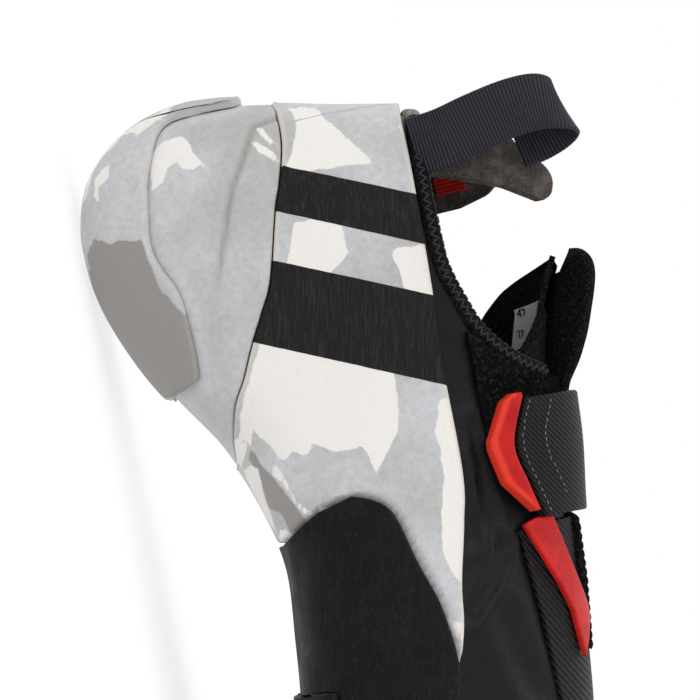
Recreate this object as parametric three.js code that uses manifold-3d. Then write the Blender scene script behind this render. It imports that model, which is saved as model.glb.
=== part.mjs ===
// A down-turned climbing shoe for the right foot, standing empty on its sole.
// Units are millimetres. +X runs from heel to toe, +Y to the inner side of the foot, +Z up.
// The whole shoe follows one last: a table of cross-sections from heel to toe. Upper, rubber,
// strap and tongue are layers at stated distances from it, cut out by outlines in side view.
import * as THREE from 'three';
import { mergeVertices } from 'three/addons/utils/BufferGeometryUtils.js';
import { ParametricGeometry } from 'three/addons/geometries/ParametricGeometry.js';
import Module from 'manifold-3d';

const wasm = await Module();
wasm.setup();

// Main sizes
const LENGTH = 262;
const HEEL_WIDTH = 60;
const BALL_WIDTH = 92;
const INSTEP_HEIGHT = 89;
const COLLAR_HEIGHT = 75;
const ARCH_RISE = 27.4;

// Layers, measured from the outside of the upper
const GAP = 0.3;
const UPPER_WALL = 1.8;
const SOLE_STACK = 4;
const FLAT_BITE = 0.6;
const CUP_RUBBER = 1.6;
const RAND_RUBBER = 2;
const ARCH_RUBBER = 2.2;
const TOE_RUBBER = 1.6;
const SOLE_SIDE = 2.6;
const SOLE_EDGE_HEIGHT = 6.5;
const TONGUE_WALL = 2.2;
const HEEL_TAB_WALL = 2.5;
const COLLAR_TAB_WALL = 0.9;
const BINDING_WALL = 1;
const BINDING_WIDTH = 2.4;
const BINDING_CAP = 0.9;
const PATCH_WALL = 1.4;
const STRAP_WALL = 2.2;
const STRAP_TIP_WALL = 2.9;
const INSTEP_OVERLAY_WALL = 0.9;
const SPEAR_WALL = 1.2;

// Openings and ribbons
const THROAT_WIDTH = 16;
const THROAT_FROM = 0.25;
const THROAT_TO = 0.40;
const FOOTBED_SHARE = 0.62;
const FOOTBED_FROM = 0.216;
const FOOTBED_TO = 0.916;
const FOOTBED_END_SHARE = 0.25;
const FOOTBED_END_ROUNDNESS = 6;
const OUTSOLE_FROM = 0.495;
// How fast the outsole's side wall grows to the full stack where the last turns under
const SOLE_TURN = 1.4;
const HEEL_LOOP_WIDTH = 12.5;
const HEEL_LOOP_WALL = 1.1;
const HEEL_LOOP_HEIGHT = 32;
const HEEL_LOOP_SLACK = 1.25;
const TONGUE_LOOP_WIDTH = 12;
const TONGUE_LOOP_WALL = 2.5;
const TONGUE_LOOP_RISE = 6.2;

// Facets of the last, and reach of a cutter past everything
const AROUND = 20;
const ALONG = 30;
const FAR = 160;

// Sections of the last. along: share of LENGTH. bottom: share of ARCH_RISE above the flat spots.
// top: share of INSTEP_HEIGHT. outer, inner: half widths to either side, share of the local width.
// waist: where the section is widest, share of its own height. under, over: roundness of the
// lower and upper half, 2 is an ellipse. roll: lift of the inner side, share of ARCH_RISE.
const SECTIONS = [
  { along: 0.015, bottom: 0.90, top: 0.315, outer: 0.00, inner: 0.00, waist: 0.50, under: 2.2, over: 2.2, roll: 0 },
  { along: 0.019, bottom: 0.68, top: 0.405, outer: 0.13, inner: 0.13, waist: 0.45, under: 2.2, over: 2.2, roll: 0 },
  { along: 0.026, bottom: 0.48, top: 0.525, outer: 0.24, inner: 0.24, waist: 0.40, under: 2.2, over: 2.2, roll: 0 },
  { along: 0.037, bottom: 0.31, top: 0.66, outer: 0.33, inner: 0.33, waist: 0.36, under: 2.3, over: 2.2, roll: 0 },
  { along: 0.049, bottom: 0.19, top: 0.83, outer: 0.39, inner: 0.39, waist: 0.32, under: 2.3, over: 2.2, roll: 0 },
  { along: 0.062, bottom: 0.10, top: 1.00, outer: 0.43, inner: 0.43, waist: 0.29, under: 2.3, over: 2.2, roll: 0 },
  { along: 0.084, bottom: 0.03, top: 1.12, outer: 0.465, inner: 0.465, waist: 0.27, under: 2.4, over: 2.3, roll: 0 },
  { along: 0.112, bottom: 0.00, top: 1.19, outer: 0.485, inner: 0.485, waist: 0.27, under: 2.4, over: 2.3, roll: 0 },
  { along: 0.153, bottom: 0.06, top: 1.20, outer: 0.49, inner: 0.49, waist: 0.27, under: 2.4, over: 2.3, roll: 0 },
  { along: 0.198, bottom: 0.22, top: 1.13, outer: 0.485, inner: 0.485, waist: 0.27, under: 2.4, over: 2.2, roll: 0 },
  { along: 0.237, bottom: 0.42, top: 1.08, outer: 0.475, inner: 0.475, waist: 0.27, under: 2.5, over: 2.2, roll: 0.02 },
  { along: 0.282, bottom: 0.69, top: 1.05, outer: 0.475, inner: 0.465, waist: 0.27, under: 2.5, over: 2.1, roll: 0.04 },
  { along: 0.336, bottom: 0.89, top: 1.035, outer: 0.49, inner: 0.46, waist: 0.27, under: 2.6, over: 2.0, roll: 0.08 },
  { along: 0.390, bottom: 1.00, top: 1.01, outer: 0.49, inner: 0.44, waist: 0.26, under: 2.6, over: 1.9, roll: 0.15 },
  { along: 0.450, bottom: 0.96, top: 0.99, outer: 0.48, inner: 0.41, waist: 0.25, under: 2.6, over: 1.9, roll: 0.18 },
  { along: 0.511, bottom: 0.89, top: 0.975, outer: 0.475, inner: 0.41, waist: 0.24, under: 2.7, over: 1.8, roll: 0.16 },
  { along: 0.573, bottom: 0.75, top: 0.945, outer: 0.465, inner: 0.415, waist: 0.23, under: 2.8, over: 1.8, roll: 0.11 },
  { along: 0.634, bottom: 0.51, top: 0.87, outer: 0.47, inner: 0.44, waist: 0.22, under: 3.0, over: 1.8, roll: 0.04 },
  { along: 0.695, bottom: 0.24, top: 0.765, outer: 0.475, inner: 0.475, waist: 0.22, under: 3.2, over: 1.8, roll: 0 },
  { along: 0.756, bottom: 0.08, top: 0.65, outer: 0.45, inner: 0.49, waist: 0.23, under: 3.2, over: 1.8, roll: 0 },
  { along: 0.817, bottom: 0.01, top: 0.555, outer: 0.39, inner: 0.49, waist: 0.25, under: 3.2, over: 1.8, roll: 0 },
  { along: 0.870, bottom: 0.00, top: 0.48, outer: 0.305, inner: 0.46, waist: 0.28, under: 3.0, over: 1.8, roll: 0 },
  { along: 0.916, bottom: 0.03, top: 0.41, outer: 0.20, inner: 0.42, waist: 0.32, under: 2.8, over: 1.9, roll: 0 },
  { along: 0.950, bottom: 0.10, top: 0.35, outer: 0.10, inner: 0.37, waist: 0.37, under: 2.6, over: 2.0, roll: 0 },
  { along: 0.975, bottom: 0.20, top: 0.29, outer: -0.01, inner: 0.31, waist: 0.43, under: 2.4, over: 2.1, roll: 0 },
  { along: 0.987, bottom: 0.33, top: 0.24, outer: -0.09, inner: 0.25, waist: 0.47, under: 2.2, over: 2.2, roll: 0 },
  { along: 0.991, bottom: 0.50, top: 0.19, outer: -0.165, inner: 0.165, waist: 0.50, under: 2.2, over: 2.2, roll: 0 },
];
const WIDTH_GROWS_FROM = 0.30;
const WIDTH_GROWN_AT = 0.65;

// Outlines in side view. Each row is a point: share of LENGTH, share of the named height.
const TOPLINE = [
  [-0.04, 1.007], [0.042, 1.007], [0.092, 1.00], [0.172, 1.00], [0.206, 1.027],
  [0.237, 1.067], [0.260, 1.133], [0.279, 1.227], [0.294, 1.387],
];
const RAND_TOP = [
  [-0.02, 0.965], [0.046, 0.967], [0.103, 0.967], [0.206, 0.953], [0.252, 0.94],
  [0.344, 0.933], [0.385, 0.907], [0.431, 0.867], [0.466, 0.847], [0.51, 0.80],
];
const CUP_TOP = [
  [-0.02, 0.52], [0.015, 0.517], [0.030, 0.528], [0.057, 0.528], [0.088, 0.506], [0.110, 0.483],
  [0.164, 0.438], [0.187, 0.404], [0.214, 0.360], [0.237, 0.326], [0.256, 0.292], [0.279, 0.270],
  [0.309, 0.247], [0.322, 0.15],
];
const PLATE_EDGE = [
  [-0.02, 0.438], [0.008, 0.438], [0.010, 0.337], [0.013, 0.270], [0.023, 0.236], [0.042, 0.213],
  [0.065, 0.191], [0.088, 0.180], [0.115, 0.169], [0.134, 0.180], [0.160, 0.213], [0.195, 0.219],
  [0.225, 0.213], [0.233, 0.197], [0.240, 0.10],
];
const ARCH_PATCH_EDGE = [
  [0.374, 0.20], [0.374, 0.326], [0.351, 0.438], [0.347, 0.517], [0.351, 0.562], [0.366, 0.607],
  [0.408, 0.640], [0.447, 0.674], [0.500, 0.685], [0.534, 0.640], [0.579, 0.579],
];
const TOE_RUBBER_EDGE = [
  [0.580, 0.575], [0.645, 0.475], [0.710, 0.415], [0.755, 0.45], [0.785, 0.54], [0.800, 0.70],
];
const TOUCH_PATCH_EDGE = [
  [0.320, 0.98], [0.320, 0.50], [0.229, 0.50], [0.229, 0.98],
];
// Share of the arch patch's outline that is its heel side
const ARCH_PATCH_HEEL_SIDE = 0.6;
const STRAP_END = [[0.295, 0.956], [0.327, 0.916], [0.353, 0.931], [0.387, 0.949]];
const STRAP_TIP_END = [[0.291, 0.902], [0.300, 0.872], [0.322, 0.857], [0.343, 0.880], [0.360, 0.908], [0.387, 0.928]];
const STRAP_BACK = 0.295;
const STRAP_BACK_TOP = 0.303;
const STRAP_FRONT = 0.393;
// Where the strap comes down from the touch patch to the upper: share across the shoe
const STRAP_STEPS_FROM = -0.2;
const STRAP_STEPS_TO = 0.6;
const SPEAR = [
  [0.396, 0.899], [0.419, 0.925], [0.448, 0.956], [0.471, 0.974], [0.510, 0.981], [0.471, 1.01], [0.392, 0.971],
];
const INSTEP_OVERLAY_EDGE = [
  [0.405, 1.2], [0.397, 0.95], [0.400, 0.885], [0.470, 0.899], [0.542, 0.902], [0.600, 0.80], [0.640, 0.74],
  [0.665, 0.80], [0.672, 1.2],
];
const TONGUE_NEAR_RIM = [[0.190, 1.25], [0.192, 1.12], [0.225, 1.056], [0.260, 0.91], [0.305, 0.80]];
const TONGUE_FAR_RIM = [[0.190, 1.25], [0.194, 1.10], [0.202, 1.01], [0.212, 0.955], [0.234, 0.887], [0.275, 0.80]];
const TONGUE_ROOT = 0.43;
const HEEL_TAB_NEAR = [
  [-0.02, 1.24], [0.076, 1.25], [0.118, 1.345], [0.137, 1.345], [0.143, 1.315], [0.126, 1.213], [0.107, 1.04],
  [0.103, 0.82], [-0.02, 0.82],
];
const HEEL_TAB_FAR = [
  [-0.02, 1.24], [0.099, 1.24], [0.118, 1.20], [0.128, 1.12], [0.128, 1.01], [0.122, 0.82], [-0.02, 0.82],
];
const COLLAR_TAB = [[0.092, 1.02], [0.111, 1.02], [0.111, 1.107], [0.092, 1.107]];

// Pull loops. x, y, z: share of the loop's height from its lower seat. lean: turn of the webbing's
// width out of the length of the shoe, in degrees.
const HEEL_LOOP_PATH = [
  { x: 0.00, y: 0.00, z: 0.00, lean: 24 },
  { x: -0.03, y: -0.05, z: 0.20, lean: 16 },
  { x: -0.06, y: -0.07, z: 0.45, lean: 6 },
  { x: -0.08, y: -0.06, z: 0.70, lean: -2 },
  { x: -0.07, y: 0.00, z: 0.90, lean: -8 },
  { x: -0.03, y: 0.10, z: 0.99, lean: -20 },
  { x: 0.03, y: 0.22, z: 0.99, lean: -28 },
  { x: 0.09, y: 0.28, z: 0.88, lean: -24 },
  { x: 0.14, y: 0.26, z: 0.68, lean: -20 },
];
const HEEL_LOOP_SEAT = { along: 0.074, up: 0.985 };
// along: share of LENGTH. lift: share of the loop's rise above the tongue.
const TONGUE_LOOP_PATH = [
  { along: 0.194, lift: 0.00 }, { along: 0.199, lift: 0.35 }, { along: 0.212, lift: 0.80 },
  { along: 0.230, lift: 1.00 }, { along: 0.248, lift: 0.85 }, { along: 0.266, lift: 0.45 },
  { along: 0.282, lift: 0.10 }, { along: 0.294, lift: 0.00 },
];

// Colours
const LOOKS = {
  upper: { color: 0x2c2e33, roughness: 0.6, metalness: 0 },
  knit: { color: 0x17181b, roughness: 0.95, metalness: 0 },
  black_rubber: { color: 0x1e1f21, roughness: 0.7, metalness: 0 },
  heel_rubber: { color: 0xb9bdbb, roughness: 0.65, metalness: 0 },
  rand_rubber: { color: 0xd6d6d2, roughness: 0.6, metalness: 0 },
  webbing: { color: 0x23252d, roughness: 0.8, metalness: 0 },
  felt: { color: 0x857d78, roughness: 1, metalness: 0 },
  red_plastic: { color: 0xe8402f, roughness: 0.4, metalness: 0 },
  red_webbing: { color: 0xd81e1a, roughness: 0.7, metalness: 0 },
  strap: { color: 0x303035, roughness: 0.6, metalness: 0 },
  footbed: { color: 0x3a3a3c, roughness: 0.95, metalness: 0 },
};

// Smooth value of one column of the section table, at a place counted in rows
function column(name, place) {
  const last = SECTIONS.length - 1;
  const row = Math.min(Math.floor(place), last - 1);
  const at = (i) => SECTIONS[Math.max(0, Math.min(last, i))][name];
  const t = place - row;
  const before = (at(row + 1) - at(row - 1)) / 2;
  const after = (at(row + 2) - at(row)) / 2;
  const step = at(row + 1) - at(row);
  return at(row) + before * t + (3 * step - 2 * before - after) * t * t + (before + after - 2 * step) * t * t * t;
}

// The section at a place counted in rows
function section(place) {
  const along = column('along', place);
  const grown = THREE.MathUtils.smoothstep(along, WIDTH_GROWS_FROM, WIDTH_GROWN_AT);
  const width = THREE.MathUtils.lerp(HEEL_WIDTH, BALL_WIDTH, grown);
  const bottom = SOLE_STACK - FLAT_BITE + column('bottom', place) * ARCH_RISE;
  const top = column('top', place) * INSTEP_HEIGHT;
  const outer = column('outer', place) * width;
  const inner = column('inner', place) * width;
  return {
    x: along * LENGTH,
    middle: (inner - outer) / 2,
    half: Math.max(0, (inner + outer) / 2),
    bottom,
    top: Math.max(bottom, top),
    widest: bottom + column('waist', place) * Math.max(0, top - bottom),
    under: column('under', place),
    over: column('over', place),
    roll: column('roll', place) * ARCH_RISE,
  };
}

// The place, counted in rows, of the section at a distance from the heel
function placeAt(x) {
  let low = 0;
  let high = SECTIONS.length - 1;
  for (let i = 0; i < 30; i++) {
    const middle = (low + high) / 2;
    if (column('along', middle) * LENGTH < x) low = middle;
    else high = middle;
  }
  return (low + high) / 2;
}

// A point on the last: turn goes once round the section, place counts rows from the heel
function onLast(turn, place) {
  const s = section(place);
  const angle = turn * 2 * Math.PI;
  const across = Math.cos(angle);
  const up = Math.sin(angle);
  const power = 2 / (up > 0 ? s.over : s.under);
  const reach = up > 0 ? s.top - s.widest : s.widest - s.bottom;
  const side = Math.sign(across) * Math.abs(across) ** power;
  const lift = up < 0 ? s.roll * Math.max(0, side) * Math.abs(up) : 0;
  return new THREE.Vector3(s.x, s.middle + s.half * side, s.widest + reach * Math.sign(up) * Math.abs(up) ** power + lift);
}

// How far the last's side lies from the middle plane, at a length and a height; side is -1 or 1
function flank(x, z, side) {
  const s = section(placeAt(x));
  const above = z > s.widest;
  const share = above ? (z - s.widest) / (s.top - s.widest) : (s.widest - z) / (s.widest - s.bottom);
  const power = above ? s.over : s.under;
  return s.middle + side * s.half * (1 - Math.min(1, share) ** power) ** (1 / power);
}

// The outward direction of the last at a point
function outward(turn, place) {
  const end = SECTIONS.length - 1;
  const step = 0.004;
  const here = THREE.MathUtils.clamp(place, 0.02, end - 0.02);
  const round = onLast(turn + step, here).sub(onLast(turn - step, here));
  const along = onLast(turn, Math.min(end, here + step * 4)).sub(onLast(turn, Math.max(0, here - step * 4)));
  return round.cross(along).normalize();
}

// A closed solid from any closed geometry, with its shared corners merged
function solid(geometry) {
  const bare = geometry.index ? geometry : geometry.clone();
  bare.deleteAttribute('normal');
  bare.deleteAttribute('uv');
  const merged = mergeVertices(bare, 1e-4);
  const index = merged.index.array;
  const kept = [];
  for (let i = 0; i < index.length; i += 3) {
    const [a, b, c] = [index[i], index[i + 1], index[i + 2]];
    if (a !== b && b !== c && c !== a) kept.push(a, b, c);
  }
  const corners = Float32Array.from(merged.attributes.position.array);
  const build = (triVerts) => new wasm.Manifold(new wasm.Mesh({
    numProp: 3, vertProperties: corners, triVerts: Uint32Array.from(triVerts),
  }));
  const first = build(kept);
  if (first.volume() > 0) return first;
  for (let i = 0; i < kept.length; i += 3) [kept[i], kept[i + 1]] = [kept[i + 1], kept[i]];
  return build(kept);
}

// The last grown by a distance, which may depend on the outward direction
function skin(distance) {
  const end = SECTIONS.length - 1;
  const grow = typeof distance === 'function' ? distance : () => distance;
  return solid(new ParametricGeometry((u, v, target) => {
    const place = v * end;
    if (v === 0 || v === 1) {
      const s = section(place);
      const pole = new THREE.Vector3(v === 0 ? -1 : 1, 0, 0);
      target.set(s.x, s.middle, (s.bottom + s.top) / 2).addScaledVector(pole, grow(pole));
      return;
    }
    const turn = u === 1 ? 0 : u;
    const normal = outward(turn, place);
    target.copy(onLast(turn, place)).addScaledVector(normal, grow(normal));
  }, AROUND, ALONG));
}

// The wall between two grown lasts
function layer(inside, outside) {
  return skin(outside).subtract(skin(inside));
}

// Points of an outline in side view; height is the size that its second column follows
function points(rows, height, shift = 0) {
  return rows.map(([along, up]) => new THREE.Vector2(along * LENGTH, up * height + shift));
}

// A smooth line through points
function smooth(line, steps = 2) {
  return new THREE.SplineCurve(line).getPoints((line.length - 1) * steps);
}

const BOTH = { from: -FAR, to: FAR };
const NEAR = { from: -FAR, to: 0 };
const OFF = { from: 0, to: FAR };

// A cutter with an outline in side view, reaching across the shoe or over one half of it
function cutter(outline, { from, to } = BOTH) {
  const geometry = new THREE.ExtrudeGeometry(new THREE.Shape(outline), { depth: to - from, bevelEnabled: false });
  return solid(geometry.rotateX(Math.PI / 2).translate(0, to, 0));
}

// A cutter with an outline in plan, between two heights
function planCutter(outline, low, high) {
  const geometry = new THREE.ExtrudeGeometry(new THREE.Shape(outline), { depth: high - low, bevelEnabled: false });
  return solid(geometry.translate(0, 0, low));
}

// All that lies above a line in side view
function above(line, half = BOTH) {
  const first = line[0];
  const last = line[line.length - 1];
  return cutter([...line, new THREE.Vector2(last.x, FAR), new THREE.Vector2(first.x, FAR)], half);
}

// All that lies below a line in side view
function below(line, half = BOTH) {
  const first = line[0];
  const last = line[line.length - 1];
  return cutter([...line, new THREE.Vector2(last.x, -FAR), new THREE.Vector2(first.x, -FAR)], half);
}

// Cuts off everything under the plane that the shoe stands on
function standing(piece) {
  return piece.subtract(planCutter([
    new THREE.Vector2(-FAR, -FAR), new THREE.Vector2(LENGTH + FAR, -FAR),
    new THREE.Vector2(LENGTH + FAR, FAR), new THREE.Vector2(-FAR, FAR),
  ], -FAR, 0));
}

// The outline of the footbed in plan, inside the upper's own widths
function footbed(inset) {
  const from = placeAt(FOOTBED_FROM * LENGTH);
  const to = placeAt(FOOTBED_TO * LENGTH);
  const count = 22;
  const near = [];
  const off = [];
  for (let i = 0; i <= count; i++) {
    const s = section(from + (to - from) * i / count);
    const round = Math.sqrt(1 - (2 * i / count - 1) ** FOOTBED_END_ROUNDNESS);
    const half = s.half * FOOTBED_SHARE * Math.max(FOOTBED_END_SHARE, round) - inset;
    const x = s.x + (i === 0 ? inset : 0) - (i === count ? inset : 0);
    near.push(new THREE.Vector2(x, s.middle - half));
    off.unshift(new THREE.Vector2(x, s.middle + half));
  }
  return [...near, ...off];
}

// A line along the shoe that keeps a height above the last's bottom, or its widest level
function lineAlong(fromRow, toRow, height) {
  const line = [];
  const steps = Math.round((toRow - fromRow) * 2);
  for (let i = 0; i <= steps; i++) {
    const s = section(fromRow + (toRow - fromRow) * i / steps);
    line.push(new THREE.Vector2(s.x, height(s)));
  }
  return line;
}

const lastRow = SECTIONS.length - 1;
const topline = smooth(points(TOPLINE, COLLAR_HEIGHT));
const shifted = (line, rise) => line.map((p) => new THREE.Vector2(p.x, p.y + rise));
const throat = planCutter([
  new THREE.Vector2(LENGTH * THROAT_FROM, -THROAT_WIDTH / 2),
  new THREE.Vector2(LENGTH * THROAT_TO, -THROAT_WIDTH / 3),
  new THREE.Vector2(LENGTH * THROAT_TO + THROAT_WIDTH / 12, 0),
  new THREE.Vector2(LENGTH * THROAT_TO, THROAT_WIDTH / 3),
  new THREE.Vector2(LENGTH * THROAT_FROM, THROAT_WIDTH / 2),
], INSTEP_HEIGHT * 0.7, FAR);

function upper() {
  const underfoot = planCutter(footbed(0), -FAR, FAR)
    .intersect(below(lineAlong(0, lastRow, (s) => s.widest)));
  return layer(-UPPER_WALL, 0).subtract(above(topline)).subtract(throat).subtract(underfoot);
}

function insole() {
  return layer(-UPPER_WALL, 0)
    .intersect(planCutter(footbed(GAP), -FAR, FAR))
    .intersect(below(lineAlong(0, lastRow, (s) => s.widest)));
}

const soleLine = lineAlong(placeAt(OUTSOLE_FROM * LENGTH), lastRow, (s) => s.bottom + SOLE_EDGE_HEIGHT);
soleLine.push(new THREE.Vector2(LENGTH + FAR, soleLine[soleLine.length - 1].y));

function outsole() {
  const thick = (normal) => THREE.MathUtils.lerp(SOLE_SIDE, SOLE_STACK, THREE.MathUtils.clamp(-normal.z * SOLE_TURN, 0, 1));
  return standing(layer(GAP, thick).intersect(below(soleLine)));
}

function toeRubber() {
  const edge = smooth(points(TOE_RUBBER_EDGE, INSTEP_HEIGHT));
  const region = [
    ...edge, new THREE.Vector2(edge[edge.length - 1].x, FAR), new THREE.Vector2(LENGTH + FAR, FAR),
    new THREE.Vector2(LENGTH + FAR, -FAR), new THREE.Vector2(edge[0].x, -FAR),
  ];
  return layer(GAP, GAP + TOE_RUBBER).intersect(cutter(region)).subtract(below(shifted(soleLine, GAP)));
}

const archEdge = smooth(points(ARCH_PATCH_EDGE, INSTEP_HEIGHT));
const archRegion = (grow) => [
  new THREE.Vector2(archEdge[0].x - grow, -FAR),
  ...archEdge.map((p, i) => new THREE.Vector2(p.x - (i < archEdge.length * ARCH_PATCH_HEEL_SIDE ? grow : 0), p.y + grow)),
  new THREE.Vector2(archEdge[archEdge.length - 1].x, -FAR),
];

function archRubber() {
  const sole = below([new THREE.Vector2(soleLine[0].x - GAP, soleLine[0].y + GAP), ...shifted(soleLine, GAP)]);
  return layer(GAP, GAP + ARCH_RUBBER).intersect(cutter(archRegion(0))).subtract(sole);
}

const cupTop = smooth(points(CUP_TOP, INSTEP_HEIGHT), 1);
const randTop = smooth(points(RAND_TOP, COLLAR_HEIGHT), 1);

function heelCup() {
  return standing(layer(GAP, GAP + CUP_RUBBER).intersect(below(shifted(cupTop, -GAP))));
}

function heelRand() {
  const ahead = new THREE.Vector2(randTop[randTop.length - 1].x, -FAR);
  const region = [...randTop, ahead, new THREE.Vector2(cupTop[cupTop.length - 1].x, -FAR), ...[...cupTop].reverse()];
  return layer(GAP, GAP + RAND_RUBBER).intersect(cutter(region)).subtract(cutter(archRegion(GAP)));
}

function heelPlate() {
  const edge = smooth(points(PLATE_EDGE, INSTEP_HEIGHT), 2);
  return standing(layer(GAP + CUP_RUBBER + GAP, SOLE_STACK).intersect(below(edge)));
}

function collarBinding() {
  const band = above(shifted(topline, -BINDING_WIDTH)).subtract(above(shifted(topline, BINDING_CAP)));
  const wall = skin(GAP).intersect(below(shifted(topline, GAP)));
  return layer(-UPPER_WALL, GAP + BINDING_WALL).intersect(band).subtract(wall).subtract(throat);
}

const liningOutside = -UPPER_WALL - GAP;

function heelTab() {
  const near = cutter(points(HEEL_TAB_NEAR, COLLAR_HEIGHT), NEAR);
  const off = cutter(points(HEEL_TAB_FAR, COLLAR_HEIGHT), { from: -GAP, to: FAR });
  return layer(liningOutside - HEEL_TAB_WALL, liningOutside).intersect(near.add(off));
}

function collarTab() {
  const outside = liningOutside - HEEL_TAB_WALL - GAP;
  return layer(outside - COLLAR_TAB_WALL, outside).intersect(cutter(points(COLLAR_TAB, COLLAR_HEIGHT), OFF));
}

function tongue() {
  const side = (rim, half) => {
    const edge = smooth(points(rim, INSTEP_HEIGHT));
    const root = LENGTH * TONGUE_ROOT;
    return cutter([
      ...edge, new THREE.Vector2(root, edge[edge.length - 1].y), new THREE.Vector2(root, FAR),
      new THREE.Vector2(edge[0].x, FAR),
    ], half);
  };
  const region = side(TONGUE_NEAR_RIM, NEAR).add(side(TONGUE_FAR_RIM, { from: -GAP, to: FAR }));
  return layer(liningOutside - TONGUE_WALL, liningOutside).intersect(region);
}

function touchPatch() {
  const region = cutter(points(TOUCH_PATCH_EDGE, INSTEP_HEIGHT), NEAR);
  return layer(GAP, GAP + PATCH_WALL).intersect(region).intersect(above(shifted(randTop, GAP)))
    .subtract(above(shifted(topline, -BINDING_WIDTH - GAP))).subtract(throat);
}

// The strap lies on the touch patch on the near side and on the upper on the other
const strapInside = (normal) => THREE.MathUtils.lerp(
  2 * GAP + PATCH_WALL, GAP + INSTEP_OVERLAY_WALL, THREE.MathUtils.smoothstep(normal.y, STRAP_STEPS_FROM, STRAP_STEPS_TO));
const strapEnd = smooth(points(STRAP_END, INSTEP_HEIGHT));

function strap() {
  const back = new THREE.Vector2(LENGTH * STRAP_BACK_TOP, FAR);
  const front = new THREE.Vector2(LENGTH * STRAP_FRONT, FAR);
  const near = cutter([...strapEnd, front, back], { from: -FAR, to: GAP });
  const foot = (along) => new THREE.Vector2(LENGTH * along, 0);
  const off = cutter([foot(STRAP_BACK), foot(STRAP_FRONT), front, back], OFF).intersect(above(shifted(randTop, 2 * GAP)));
  return skin((n) => strapInside(n) + STRAP_WALL).subtract(skin(strapInside)).intersect(near.add(off));
}

function strapTip() {
  const outer = smooth(points(STRAP_TIP_END, INSTEP_HEIGHT));
  const region = cutter([...outer, ...shifted(strapEnd, -GAP).reverse()], NEAR);
  return skin((n) => strapInside(n) + STRAP_TIP_WALL).subtract(skin(strapInside)).intersect(region);
}

function spear() {
  const inside = GAP + INSTEP_OVERLAY_WALL + GAP;
  return layer(inside, inside + SPEAR_WALL).intersect(cutter(points(SPEAR, INSTEP_HEIGHT), NEAR));
}

function instepOverlay() {
  const edge = cutter(smooth(points(INSTEP_OVERLAY_EDGE, INSTEP_HEIGHT)));
  return layer(GAP, GAP + INSTEP_OVERLAY_WALL).intersect(edge).subtract(throat);
}

// A flat band along a smooth path. Each row has the middle of the band and the direction of its width.
function band(rows, width, wall) {
  const path = new THREE.CatmullRomCurve3(rows.map((row) => row.at));
  const across = new THREE.CatmullRomCurve3(rows.map((row) => row.across));
  const steps = (rows.length - 1) * 3;
  const corners = [[-1, -1], [1, -1], [1, 1], [-1, 1]];
  return solid(new ParametricGeometry((u, v, target) => {
    const step = Math.round(v * (steps + 2));
    const t = THREE.MathUtils.clamp((step - 1) / steps, 0, 1);
    const middle = path.getPoint(t);
    target.copy(middle);
    if (step === 0 || step === steps + 2) return;
    const ahead = path.getTangent(t);
    const side = across.getPoint(t).normalize();
    side.addScaledVector(ahead, -side.dot(ahead)).normalize();
    const out = new THREE.Vector3().crossVectors(ahead, side);
    const [a, b] = corners[Math.round(u * 4) % 4];
    target.addScaledVector(side, a * width / 2).addScaledVector(out, b * wall / 2);
  }, 4, steps + 2));
}

function heelLoop() {
  const x = HEEL_LOOP_SEAT.along * LENGTH;
  const z = HEEL_LOOP_SEAT.up * COLLAR_HEIGHT;
  const y = flank(x, z, -1) - (2 * GAP + BINDING_WALL + HEEL_LOOP_WALL / 2) * HEEL_LOOP_SLACK;
  return band(HEEL_LOOP_PATH.map((row) => {
    const lean = THREE.MathUtils.degToRad(row.lean);
    return {
      at: new THREE.Vector3(x, y, z).addScaledVector(new THREE.Vector3(row.x, row.y, row.z), HEEL_LOOP_HEIGHT),
      across: new THREE.Vector3(Math.cos(lean), -Math.sin(lean), 0),
    };
  }), HEEL_LOOP_WIDTH, HEEL_LOOP_WALL);
}

function tongueLoop() {
  return band(TONGUE_LOOP_PATH.map((row) => {
    const x = row.along * LENGTH;
    const s = section(placeAt(x));
    const seat = s.top + liningOutside + GAP + TONGUE_LOOP_WALL / 2;
    return {
      at: new THREE.Vector3(x, s.middle, seat + row.lift * TONGUE_LOOP_RISE),
      across: new THREE.Vector3(0, 1, 0),
    };
  }), TONGUE_LOOP_WIDTH, TONGUE_LOOP_WALL);
}

// A named mesh from a solid
function mesh(name, look, piece) {
  const data = piece.getMesh();
  const geometry = new THREE.BufferGeometry();
  geometry.setAttribute('position', new THREE.BufferAttribute(new Float32Array(data.vertProperties), 3));
  geometry.setIndex(new THREE.BufferAttribute(new Uint32Array(data.triVerts), 1));
  geometry.computeVertexNormals();
  const made = new THREE.Mesh(geometry, new THREE.MeshStandardMaterial(LOOKS[look]));
  made.name = name;
  return made;
}

const shoe = new THREE.Group();
shoe.add(
  mesh('upper', 'upper', upper()),
  mesh('insole', 'footbed', insole()),
  mesh('outsole', 'black_rubber', outsole()),
  mesh('toe_rubber', 'black_rubber', toeRubber()),
  mesh('arch_rubber', 'black_rubber', archRubber()),
  mesh('heel_cup', 'heel_rubber', heelCup()),
  mesh('heel_plate', 'heel_rubber', heelPlate()),
  mesh('heel_rand', 'rand_rubber', heelRand()),
  mesh('collar_binding', 'knit', collarBinding()),
  mesh('heel_tab', 'felt', heelTab()),
  mesh('collar_tab', 'red_webbing', collarTab()),
  mesh('heel_loop', 'webbing', heelLoop()),
  mesh('tongue', 'knit', tongue()),
  mesh('tongue_loop', 'knit', tongueLoop()),
  mesh('touch_patch', 'knit', touchPatch()),
  mesh('strap', 'strap', strap()),
  mesh('strap_tip', 'red_plastic', strapTip()),
  mesh('instep_spear', 'red_plastic', spear()),
  mesh('instep_overlay', 'strap', instepOverlay()),
);

// The origin is under the middle of the whole shoe, on the plane that it stands on
const extent = new THREE.Box3().setFromObject(shoe);
const centre = extent.getCenter(new THREE.Vector3());
shoe.position.set(-centre.x, -centre.y, -extent.min.z);

export default shoe;
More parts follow.
